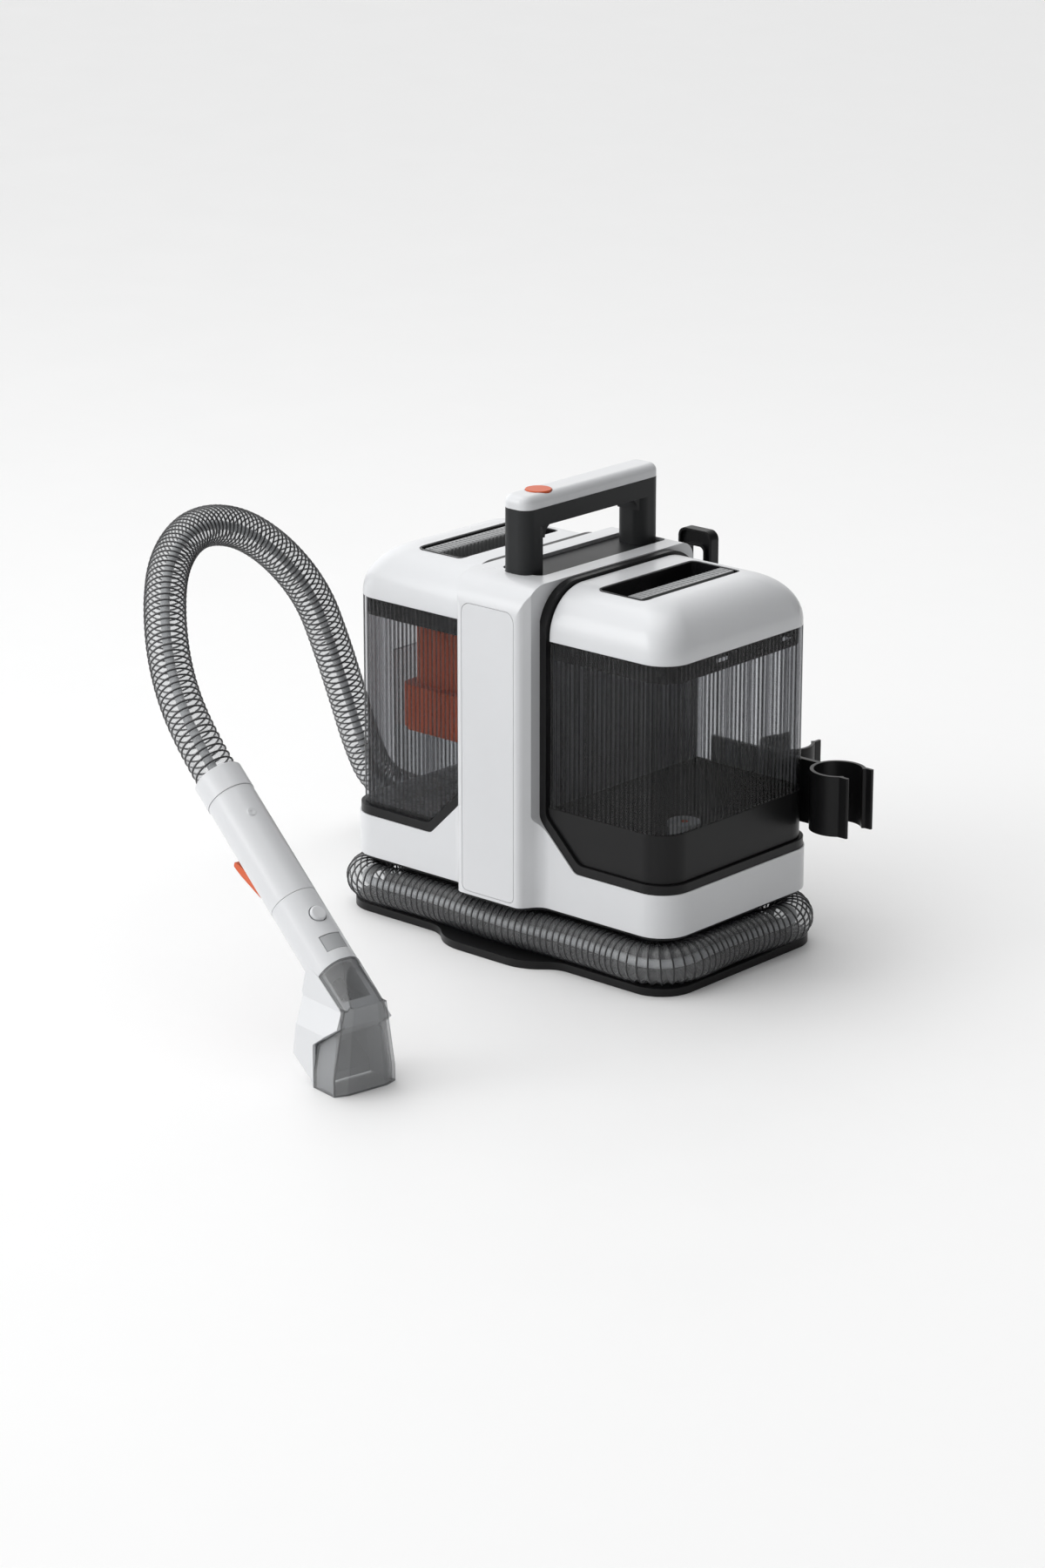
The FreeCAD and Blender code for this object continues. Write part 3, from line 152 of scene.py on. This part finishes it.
def plastic(name, color, roughness, grain=0.04, grain_scale=900.0, coat=0.0, edge=0.6, metal=0.0, drift=0.05,
            shine=0.5):
    """Moulded plastic: fine grain, slow drift in gloss and tone, and edges softened by a bevel."""
    m, tree, out = new_material(name)
    p = tree.nodes.new("ShaderNodeBsdfPrincipled")
    p.inputs["Metallic"].default_value = metal
    p.inputs["Specular IOR Level"].default_value = shine
    p.inputs["Coat Weight"].default_value = coat
    p.inputs["Coat Roughness"].default_value = 0.12
    slow = noise(tree, 9.0, 4.0)
    tree.links.new(spread(tree, slow, roughness * 0.88, roughness * 1.12), p.inputs["Roughness"])
    mix = tree.nodes.new("ShaderNodeMix")
    mix.data_type = "RGBA"
    mix.inputs["A"].default_value = (*[c * (1 - drift) for c in color], 1)
    mix.inputs["B"].default_value = (*[min(1.0, c * (1 + drift)) for c in color], 1)
    tree.links.new(noise(tree, 35.0, 5.0), mix.inputs["Factor"])
    tree.links.new(mix.outputs["Result"], p.inputs["Base Color"])
    bump = tree.nodes.new("ShaderNodeBump")
    bump.inputs["Strength"].default_value = grain
    bump.inputs["Distance"].default_value = 0.0003
    tree.links.new(noise(tree, grain_scale, 2.0), bump.inputs["Height"])
    if edge > 0:
        bevel = tree.nodes.new("ShaderNodeBevel")
        bevel.samples = 6
        bevel.inputs["Radius"].default_value = mm(edge)
        tree.links.new(bevel.outputs["Normal"], bump.inputs["Normal"])
    tree.links.new(bump.outputs["Normal"], p.inputs["Normal"])
    tree.links.new(p.outputs["BSDF"], out.inputs["Surface"])
    return m


def streaks(tree, low_value, high_value):
    """Upright streaks: noise that is fine sideways and long in height, which varies the haze and the
    strength of the painted rib shade lines.
    """
    stretch = tree.nodes.new("ShaderNodeMapping")
    stretch.inputs["Scale"].default_value = (1.0, 1.0, 0.012)
    tree.links.new(object_coords(tree), stretch.inputs["Vector"])
    n = tree.nodes.new("ShaderNodeTexNoise")
    n.inputs["Scale"].default_value = 240.0
    n.inputs["Detail"].default_value = 2.0
    tree.links.new(stretch.outputs["Vector"], n.inputs["Vector"])
    return spread(tree, n.outputs["Fac"], low_value, high_value)


def front_side(tree):
    """One where a face is seen from its outer side, nothing from behind."""
    geometry = tree.nodes.new("ShaderNodeNewGeometry")
    return math_node(tree, "SUBTRACT", 1.0, geometry.outputs["Backfacing"])


def darker(tree, color, fac, by):
    """A colour multiplied by another where a factor is one."""
    m = tree.nodes.new("ShaderNodeMix")
    m.data_type = "RGBA"
    m.blend_type = "MULTIPLY"
    tree.links.new(fac, m.inputs["Factor"])
    tree.links.new(color, m.inputs["A"])
    m.inputs["B"].default_value = (*by, 1)
    return m.outputs["Result"]


def painted_rib_shade_lines(tree, pitch):
    """Painted shade lines of a ribbed wall: bright and dark upright lines, one pair to each rib, some
    stronger than others, standing in for light bent by the ribs.
    """
    spot = tree.nodes.new("ShaderNodeSeparateXYZ")
    tree.links.new(object_coords(tree), spot.inputs["Vector"])
    across = math_node(tree, "ABSOLUTE", spot.outputs["X"])
    run = math_node(tree, "ADD", across, spot.outputs["Y"])
    wave = math_node(tree, "SINE", math_node(tree, "MULTIPLY", run, 2 * math.pi / pitch))
    line = tree.nodes.new("ShaderNodeMapRange")
    line.inputs["From Min"].default_value = 0.0
    line.inputs["From Max"].default_value = 0.6
    tree.links.new(wave, line.inputs["Value"])
    return math_node(tree, "MULTIPLY", line.outputs["Result"], streaks(tree, 0.5, 1.0))


def painted_edge_shade_mask(tree, radius):
    """One on the sharp edges of a moulding and nothing on its flats; it places the painted dark line of
    shade along those edges.
    """
    bevel = tree.nodes.new("ShaderNodeBevel")
    bevel.samples = 8
    bevel.inputs["Radius"].default_value = radius
    across = tree.nodes.new("ShaderNodeVectorMath")
    across.operation = "DOT_PRODUCT"
    tree.links.new(bevel.outputs["Normal"], across.inputs[0])
    tree.links.new(tree.nodes.new("ShaderNodeNewGeometry").outputs["True Normal"], across.inputs[1])
    mask = tree.nodes.new("ShaderNodeMapRange")
    mask.inputs["From Min"].default_value = 0.995
    mask.inputs["From Max"].default_value = 0.93
    tree.links.new(across.outputs["Value"], mask.inputs["Value"])
    return mask.outputs["Result"]


def tinted_glass(tree, tint, edge_tint, ribs, rim):
    """Straight see-through that darkens at grazing angles, with painted shade in rib lines and along sharp
    edges.
    """
    see = tree.nodes.new("ShaderNodeBsdfTransparent")
    weight = tree.nodes.new("ShaderNodeLayerWeight")
    weight.inputs["Blend"].default_value = 0.35
    tone = tree.nodes.new("ShaderNodeMix")
    tone.data_type = "RGBA"
    tone.inputs["A"].default_value = (*tint, 1)
    tone.inputs["B"].default_value = (*edge_tint, 1)
    tree.links.new(weight.outputs["Facing"], tone.inputs["Factor"])
    color = tone.outputs["Result"]
    if ribs > 0:
        # painted shade: the see-through is darkened in upright lines over the ribs, standing in for light
        # bent by them
        color = darker(tree, color, painted_rib_shade_lines(tree, ribs), (0.3, 0.3, 0.31))
    if rim > 0:
        # painted shade: a dark line along sharp edges, standing in for light bent at the edges of the clear
        # moulding
        color = darker(tree, color, painted_edge_shade_mask(tree, rim), (0.12, 0.12, 0.13))
    tree.links.new(color, see.inputs["Color"])
    return see.outputs["BSDF"]


def haze(tree, under, amount, color):
    """A faint milky veil over another shader."""
    body = tree.nodes.new("ShaderNodeBsdfPrincipled")
    body.inputs["Base Color"].default_value = (*color, 1)
    body.inputs["Roughness"].default_value = 0.35
    veil = tree.nodes.new("ShaderNodeMixShader")
    tree.links.new(amount, veil.inputs["Fac"])
    tree.links.new(under, veil.inputs[1])
    tree.links.new(body.outputs["BSDF"], veil.inputs[2])
    return veil.outputs["Shader"]


def reflection(tree, under, roughness, ior):
    """A mirror image of the room on the outer side, stronger at grazing angles."""
    shine = tree.nodes.new("ShaderNodeBsdfGlossy")
    shine.inputs["Roughness"].default_value = roughness
    fresnel = tree.nodes.new("ShaderNodeFresnel")
    fresnel.inputs["IOR"].default_value = ior
    top = tree.nodes.new("ShaderNodeMixShader")
    tree.links.new(math_node(tree, "MULTIPLY", fresnel.outputs["Fac"], front_side(tree)), top.inputs["Fac"])
    tree.links.new(under, top.inputs[1])
    tree.links.new(shine.outputs["BSDF"], top.inputs[2])
    return top.outputs["Shader"]


def clear(name, tint, edge_tint, gloss, body, body_color, ribs=0.0, rim=0.0, inner=False, ior=1.5):
    """Thin clear plastic: tinted see-through, a reflection and a faint haze.

    Ribs, when given, is their pitch, which spaces the painted shade lines; rim is the radius of the painted
    dark line of shade along sharp edges. An inner face has no reflection, and only shows its haze to someone
    looking at it across the hollow.
    """
    m, tree, out = new_material(name)
    glass = tinted_glass(tree, tint, edge_tint, ribs, rim)
    if ribs > 0:
        amount = streaks(tree, body * 0.5, body * 1.5)
    else:
        amount = spread(tree, noise(tree, 14.0, 3.0), body * 0.8, body * 1.2)
    if inner:
        amount = math_node(tree, "MULTIPLY", amount, front_side(tree))
    surface = haze(tree, glass, amount, body_color)
    if not inner:
        surface = reflection(tree, surface, gloss, ior)
    tree.links.new(surface, out.inputs["Surface"])
    return m


MATERIALS = {
    "white_gloss": plastic("white gloss plastic", (0.64, 0.65, 0.665), 0.3, 0.03, 1100.0, 0.2, 0.7,
                           drift=0.012),
    "light_grey": plastic("light grey plastic", (0.38, 0.39, 0.4), 0.35, 0.05, 1100.0, 0.0, 0.3),
    "black_satin": plastic("black satin plastic", (0.009, 0.009, 0.0095), 0.36, 0.10, 1400.0, 0.0, 0.6,
                           shine=0.2),
    "black_gloss": plastic("black gloss plastic", (0.008, 0.008, 0.009), 0.25, 0.04, 1200.0, 0.0, 0.5,
                           shine=0.3),
    "panel_grey": plastic("dark grey plastic", (0.02, 0.021, 0.022), 0.42, 0.16, 1500.0, 0.0, 0.7,
                          shine=0.2),
    "grip_grey": plastic("grey plastic", (0.3, 0.305, 0.31), 0.42, 0.12, 1300.0, 0.0, 0.3),
    "orange": plastic("orange plastic", (0.6, 0.1, 0.028), 0.36, 0.05, 1100.0, 0.0, 0.5, shine=0.3),
    "rubber": plastic("black rubber", (0.018, 0.018, 0.018), 0.7, 0.25, 900.0, 0.0, 0.4),
    "steel": plastic("zinc plated steel", (0.6, 0.6, 0.62), 0.3, 0.1, 2000.0, 0.0, 0.2, 1.0),
    "motor_metal": plastic("cast motor metal", (0.55, 0.56, 0.57), 0.38, 0.2, 600.0, 0.0, 0.4, 1.0),
    "board": plastic("circuit board", (0.02, 0.12, 0.05), 0.4, 0.1, 700.0, 0.0, 0.2),
    "pipe": plastic("natural plastic", (0.6, 0.61, 0.62), 0.4, 0.05, 700.0, 0.0, 0.4),
    "hose": plastic("hose_spiral", (0.02, 0.02, 0.022), 0.35, 0.1, 900.0, 0.0, 0.0),
    "clear_tank": clear("smoky clear tank", (0.95, 0.955, 0.965), (0.5, 0.505, 0.515), 0.25, 0.012,
                        (0.5, 0.505, 0.515), ribs=mm(RIB_PITCH), ior=1.33),
    "clear_window": clear("clear window", (0.95, 0.955, 0.96), (0.45, 0.455, 0.46), 0.06, 0.2,
                          (0.42, 0.425, 0.43), rim=0.0016),
}
FILM = clear("clear hose film", (0.95, 0.955, 0.96), (0.6, 0.605, 0.61), 0.3, 0.14, (0.5, 0.51, 0.52))
TANK_INSIDE = clear("tank inside", (0.95, 0.955, 0.965), (0.6, 0.605, 0.615), 0.2, 0.4, (0.5, 0.51, 0.52),
                    ribs=mm(RIB_PITCH), inner=True)
BAFFLE = clear("clear baffle", (0.96, 0.965, 0.97), (0.6, 0.605, 0.61), 0.08, 0.05, (0.4, 0.4, 0.41),
               rim=0.0012)
TUBE = plastic("water tube", (0.35, 0.36, 0.37), 0.4, 0.05, 700.0, 0.0, 0.0)


def shade(obj, material, angle=32.0):
    """One material over the whole mesh, smooth apart from edges sharper than the angle."""
    obj.data.materials.clear()
    obj.data.materials.append(material)
    obj.data.shade_smooth()
    obj.data.set_sharp_from_angle(angle=math.radians(angle))


slot_of = {s["node"]: s["material_slot"] for s in frame["record"]["subparts"]}
for node, obj in nodes.items():
    shade(obj, BAFFLE if node == "dirty_tank_partition" else MATERIALS[slot_of[node]])


def mesh_object(name, verts, faces, material, angle):
    mesh = bpy.data.meshes.new(name)
    mesh.from_pydata([tuple(v) for v in verts], [], faces)
    mesh.validate()
    obj = bpy.data.objects.new(name, mesh)
    bpy.context.scene.collection.objects.link(obj)
    shade(obj, material, angle)
    return obj


# ---- ribbed tank walls --------------------------------------------------------------------------------
def inner_side(z, inset):
    """X of the tank's inner side at a height: upright by the spine, slanted at the bottom corner."""
    nx, nz = SLANT_NORMAL
    px, pz = SLANT_POINT
    slant = nx * px + nz * pz + SLANT_GAP + inset
    return max(INNER_X + inset, (slant - nz * z) / nx)


def tank_loop(z, inset, ribbed):
    """Closed plan of a right-hand tank at one height, as (x, y) points."""
    x1, y1, r = TANK_X - inset, TANK_Y - inset, TANK_R - inset
    x0 = inner_side(z, inset)
    run = x1 - r - INNER_X
    side = 2 * (y1 - r)
    arc = r * math.pi / 2
    total = 2 * run + 2 * arc + side
    count = int(round(total / RIB_PITCH)) * RIB_STEPS
    points = []
    for i in range(count + 1):
        d = total * i / count
        if d < run:
            x, y, nx, ny = INNER_X + d, -y1, 0.0, -1.0
        elif d < run + arc:
            a = (d - run) / r
            nx, ny = math.sin(a), -math.cos(a)
            x, y = x1 - r + r * nx, -y1 + r + r * ny
        elif d < run + arc + side:
            x, y, nx, ny = x1, -y1 + r + (d - run - arc), 1.0, 0.0
        elif d < run + 2 * arc + side:
            a = (d - run - arc - side) / r
            nx, ny = math.cos(a), math.sin(a)
            x, y = x1 - r + r * nx, y1 - r + r * ny
        else:
            x, y, nx, ny = x1 - r - (d - run - 2 * arc - side), y1, 0.0, 1.0
        x = max(x, x0)
        wave = 0.5 - 0.5 * math.cos(2 * math.pi * i / RIB_STEPS)
        dip = RIB_DEPTH * (1.0 - wave) if ribbed else 0.0
        points.append((x - nx * dip, y - ny * dip))
    return points


def tank_shell(name, levels, floor, side, body, replaced):
    """Thin shell: ribbed outside, plain inside, joined at the top, with a floor or a joined bottom rim."""
    verts = []
    loops = []
    for z in levels:
        loops.append(len(verts))
        verts += [mm(side * x, y, z) for x, y in tank_loop(z, 0.0, True)]
    inside = [max(z, levels[0] + TANK_WALL) if floor else z for z in reversed(levels)]
    for z in inside:
        loops.append(len(verts))
        verts += [mm(side * x, y, z) for x, y in tank_loop(z, TANK_WALL, False)]
    n = loops[1] - loops[0]
    m = len(verts) - loops[-1]
    first_inside = loops[len(levels)]
    faces = []
    pairs = list(zip(loops, loops[1:]))
    if not floor:
        pairs.append((loops[-1], loops[0]))
    for a, b in pairs:
        na = n if a < first_inside else m
        nb = n if b < first_inside else m
        steps = max(na, nb)
        for i in range(steps):
            a0, a1 = a + i * na // steps, a + (i + 1) * na // steps % na
            b0, b1 = b + i * nb // steps, b + (i + 1) * nb // steps % nb
            quad = [a0, a1, b1, b0]
            if a1 == a0:
                quad = [a0, b1, b0]
            if b1 == b0:
                quad = [a0, a1, b0]
            faces.append(quad if side > 0 else quad[::-1])
    if floor:
        faces.append(list(range(loops[0], loops[0] + n))[::-side])
        faces.append(list(range(loops[-1], loops[-1] + m))[::side])
    obj = mesh_object(name, verts, faces, MATERIALS["clear_tank"], 24.0)
    obj.data.materials.append(TANK_INSIDE)
    for face in obj.data.polygons:
        face.material_index = 1 if min(face.vertices) >= first_inside else 0
    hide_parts(replaced)
    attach(obj, body)
    return obj


tank_shell("clean_tank_wall", [122.0, 160.0, 205.0, 250.0],
           floor=False, side=1, body="clean_tank", replaced="clean_tank_body")
tank_shell("dirty_tank_wall", [84.5, 88.0, 94.0, 100.0, 106.0, 112.0, 116.0, 120.0, 165.0, 210.0, 250.0],
           floor=True, side=-1, body="dirty_tank", replaced="dirty_tank_body")


# ---- hose ---------------------------------------------------------------------------------------------
def tool_point(x, y, z):
    """A point of the hand tool's own frame, placed in the shared frame."""
    c, s = math.cos(TOOL_TURN), math.sin(TOOL_TURN)
    return Vector((x * c - y * s, x * s + y * c, z)) + TOOL_PLACE


def along(s, n=0.0):
    """Point at s up the grip and n out of its top side, in the shared frame."""
    x, z = GRIP_FOOT
    back, up = GRIP_UP
    return tool_point(x - back * s + up * n, 0.0, z + up * s + back * n)


# Control points of the hose's run, from the hand tool to the outlet.
ARCH = [(-128, -305, 239), (-168, -273, 274), (-205, -231, 298), (-233, -177, 308), (-249, -118, 295),
        (-255, -68, 264), (-260, -24, 219), (-267, 3, 172), (-271, 25, 124), (-273, 43, 79),
        (-277, 66, 40), (-272, 103, 17)]
FLOOR_RUN = [(-243, 139, 16.3), (-199, 152, 16.5), (-165, 126, 21)]
CHANNEL = [(-156, 84), (-154, -5), (-163, -90), (-80, -84), (0, -91), (80, -84), (162, -90), (155, 0),
           (167, 90), (75, 90)]


def hose_route():
    """From the outlet round the base, over the floor and up the arch into the hand tool's cuff."""
    route = [along(HOSE_END), along(HOSE_LEAD)] + [Vector(p) for p in ARCH + FLOOR_RUN]
    route += [Vector((x, y, CHANNEL_Z)) for x, y in CHANNEL]
    return route[::-1]


def smooth_line(points, step):
    """Evenly spaced points along a quadratic spline through the route's mid-runs."""
    curve = bpy.data.curves.new("hose route", "CURVE")
    curve.dimensions = "3D"
    spline = curve.splines.new("NURBS")
    spline.points.add(len(points) - 1)
    for point, place in zip(spline.points, points):
        point.co = (*(place / 1000.0), 1.0)
    spline.order_u = 3
    spline.use_endpoint_u = True
    spline.resolution_u = 24
    obj = bpy.data.objects.new("hose route", curve)
    bpy.context.scene.collection.objects.link(obj)
    bpy.context.view_layer.update()
    line = bpy.data.meshes.new_from_object(obj.evaluated_get(bpy.context.evaluated_depsgraph_get()))
    raw = [v.co.copy() for v in line.vertices]
    bpy.data.objects.remove(obj)
    gaps = [(b - a).length for a, b in zip(raw, raw[1:])]
    total = sum(gaps)
    count = int(total / step)
    result = []
    i = 0
    passed = 0.0
    for k in range(count + 1):
        want = total * k / count
        while i < len(gaps) - 1 and passed + gaps[i] < want:
            passed += gaps[i]
            i += 1
        f = (want - passed) / gaps[i] if gaps[i] > 0 else 0.0
        result.append(raw[i].lerp(raw[i + 1], min(1.0, f)))
    return result, total


def frames(line):
    """A tangent and two sideways directions at each point, carried along without twist."""
    side = Vector((0, 0, 1))
    result = []
    for i in range(len(line)):
        ahead = line[min(i + 1, len(line) - 1)] - line[max(i - 1, 0)]
        t = ahead.normalized()
        side = (side - t * side.dot(t)).normalized()
        result.append((t, side, t.cross(side)))
    return result


def sweep(name, line, radius_at, around, material):
    """Tube along a line whose radius is a function of the distance along it and the turn round it."""
    verts = []
    gap = (line[1] - line[0]).length
    for i, (point, (t, a, b)) in enumerate(zip(line, frames(line))):
        for k in range(around):
            turn = 2 * math.pi * k / around
            r = radius_at(i * gap, turn)
            verts.append(point + (a * math.cos(turn) + b * math.sin(turn)) * r)
    faces = []
    for i in range(len(line) - 1):
        for k in range(around):
            n = (k + 1) % around
            faces.append([i * around + k, i * around + n, (i + 1) * around + n, (i + 1) * around + k])
    return mesh_object(name, verts, faces, material, 60.0)


def film_radius(d, turn):
    """The film stands proud over the spiral and dips between its turns."""
    wave = 0.5 + 0.5 * math.cos(2 * math.pi * d / SPIRAL_PITCH - turn)
    return FILM_LOW + FILM_WAVE * wave


def helix(line, radius, pitch, per_turn):
    """Points of a spiral wound round the line."""
    placed = frames(line)
    gap = (line[1] - line[0]).length
    total = gap * (len(line) - 1)
    count = int(total / pitch * per_turn)
    result = []
    for j in range(count + 1):
        d = total * j / count
        i = min(int(d / gap), len(line) - 2)
        f = d / gap - i
        point = line[i].lerp(line[i + 1], f)
        t, a, b = placed[i]
        turn = 2 * math.pi * d / pitch
        result.append(point + (a * math.cos(turn) + b * math.sin(turn)) * radius)
    return result


centre, hose_length = smooth_line(hose_route(), LINE_STEP)
film = sweep("hose_film", centre, film_radius, 32, FILM)
spiral = helix(centre, SPIRAL_LINE, SPIRAL_PITCH, per_turn=28)
wire = sweep("hose_spiral", spiral, lambda d, turn: WIRE_R, 6, MATERIALS["hose"])
water = sweep("hose_water_tube", centre[::4], lambda d, turn: WATER_R, 12, TUBE)
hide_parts("suction_hose")
for piece in (film, wire, water):
    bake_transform(piece)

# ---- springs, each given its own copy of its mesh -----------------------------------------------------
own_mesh(nodes["power_button_spring"])
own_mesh(nodes["clean_tank_valve_spring"])
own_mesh(nodes["trigger_spring"])


# ---- stage, light and camera --------------------------------------------------------------------------
FLOOR_HALF = 12.0
FLOOR_DROP = 0.0002


def area(name, place, aim, size, power):
    """Rectangular lamp that faces a point."""
    light = bpy.data.lights.new(name, "AREA")
    light.shape = "RECTANGLE"
    light.size, light.size_y = size
    light.energy = power
    obj = bpy.data.objects.new(name, light)
    bpy.context.scene.collection.objects.link(obj)
    obj.location = place
    obj.rotation_euler = (Vector(aim) - Vector(place)).to_track_quat("-Z", "Y").to_euler()
    return obj


def floor_plane():
    """Large pale floor, a hair under the object's feet."""
    mesh = bpy.data.meshes.new("floor")
    s = FLOOR_HALF
    mesh.from_pydata([(-s, -s, 0), (s, -s, 0), (s, s, 0), (-s, s, 0)], [], [(0, 1, 2, 3)])
    obj = bpy.data.objects.new("floor", mesh)
    bpy.context.scene.collection.objects.link(obj)
    obj.data.materials.append(plastic("pale floor", (0.9, 0.9, 0.9), 0.6, 0.02, 60.0, 0.0, 0.0, drift=0.004))
    obj.location.z = -FLOOR_DROP
    return obj


def world_light(bright_from, dark, bright):
    """Even studio surround that is brightest from one direction."""
    world = bpy.data.worlds.new("studio")
    bpy.context.scene.world = world
    world.use_nodes = True
    tree = world.node_tree
    coords = tree.nodes.new("ShaderNodeTexCoord")
    dot = tree.nodes.new("ShaderNodeVectorMath")
    dot.operation = "DOT_PRODUCT"
    dot.inputs[1].default_value = Vector(bright_from).normalized()
    tree.links.new(coords.outputs["Generated"], dot.inputs[0])
    ramp = tree.nodes.new("ShaderNodeMapRange")
    ramp.interpolation_type = "SMOOTHSTEP"
    ramp.inputs["From Min"].default_value = -0.7
    ramp.inputs["From Max"].default_value = 0.9
    ramp.inputs["To Min"].default_value = dark
    ramp.inputs["To Max"].default_value = bright
    tree.links.new(dot.outputs["Value"], ramp.inputs["Value"])
    tree.nodes["Background"].inputs["Color"].default_value = (1, 1, 1, 1)
    tree.links.new(ramp.outputs["Result"], tree.nodes["Background"].inputs["Strength"])


floor_plane()
world_light((-0.9, -0.4, 0.3), 0.03, 1.5)
area("key", (-1.7, -2.6, 1.5), (0, 0, 0.1), (1.4, 1.4), 15.0)
area("top", (-0.5, -0.2, 2.4), (0, 0, 0.1), (1.8, 1.8), 12.0)
area("rim", (1.8, 1.6, 1.2), (0, 0, 0.15), (0.8, 1.6), 1.5)

camera = bpy.data.cameras.new("camera")
camera.lens = 98.9
camera.sensor_width = 36.0
camera.clip_start = 0.1
camera.clip_end = 50.0
cam = bpy.data.objects.new("camera", camera)
bpy.context.scene.collection.objects.link(cam)
cam.location = (2.053, -2.370, 1.123)
cam.rotation_euler = (math.radians(72.1), 0, math.radians(41.7))
bpy.context.scene.camera = cam
bpy.context.scene.view_settings.view_transform = "Standard"
bpy.context.scene.cycles.transparent_max_bounces = 40
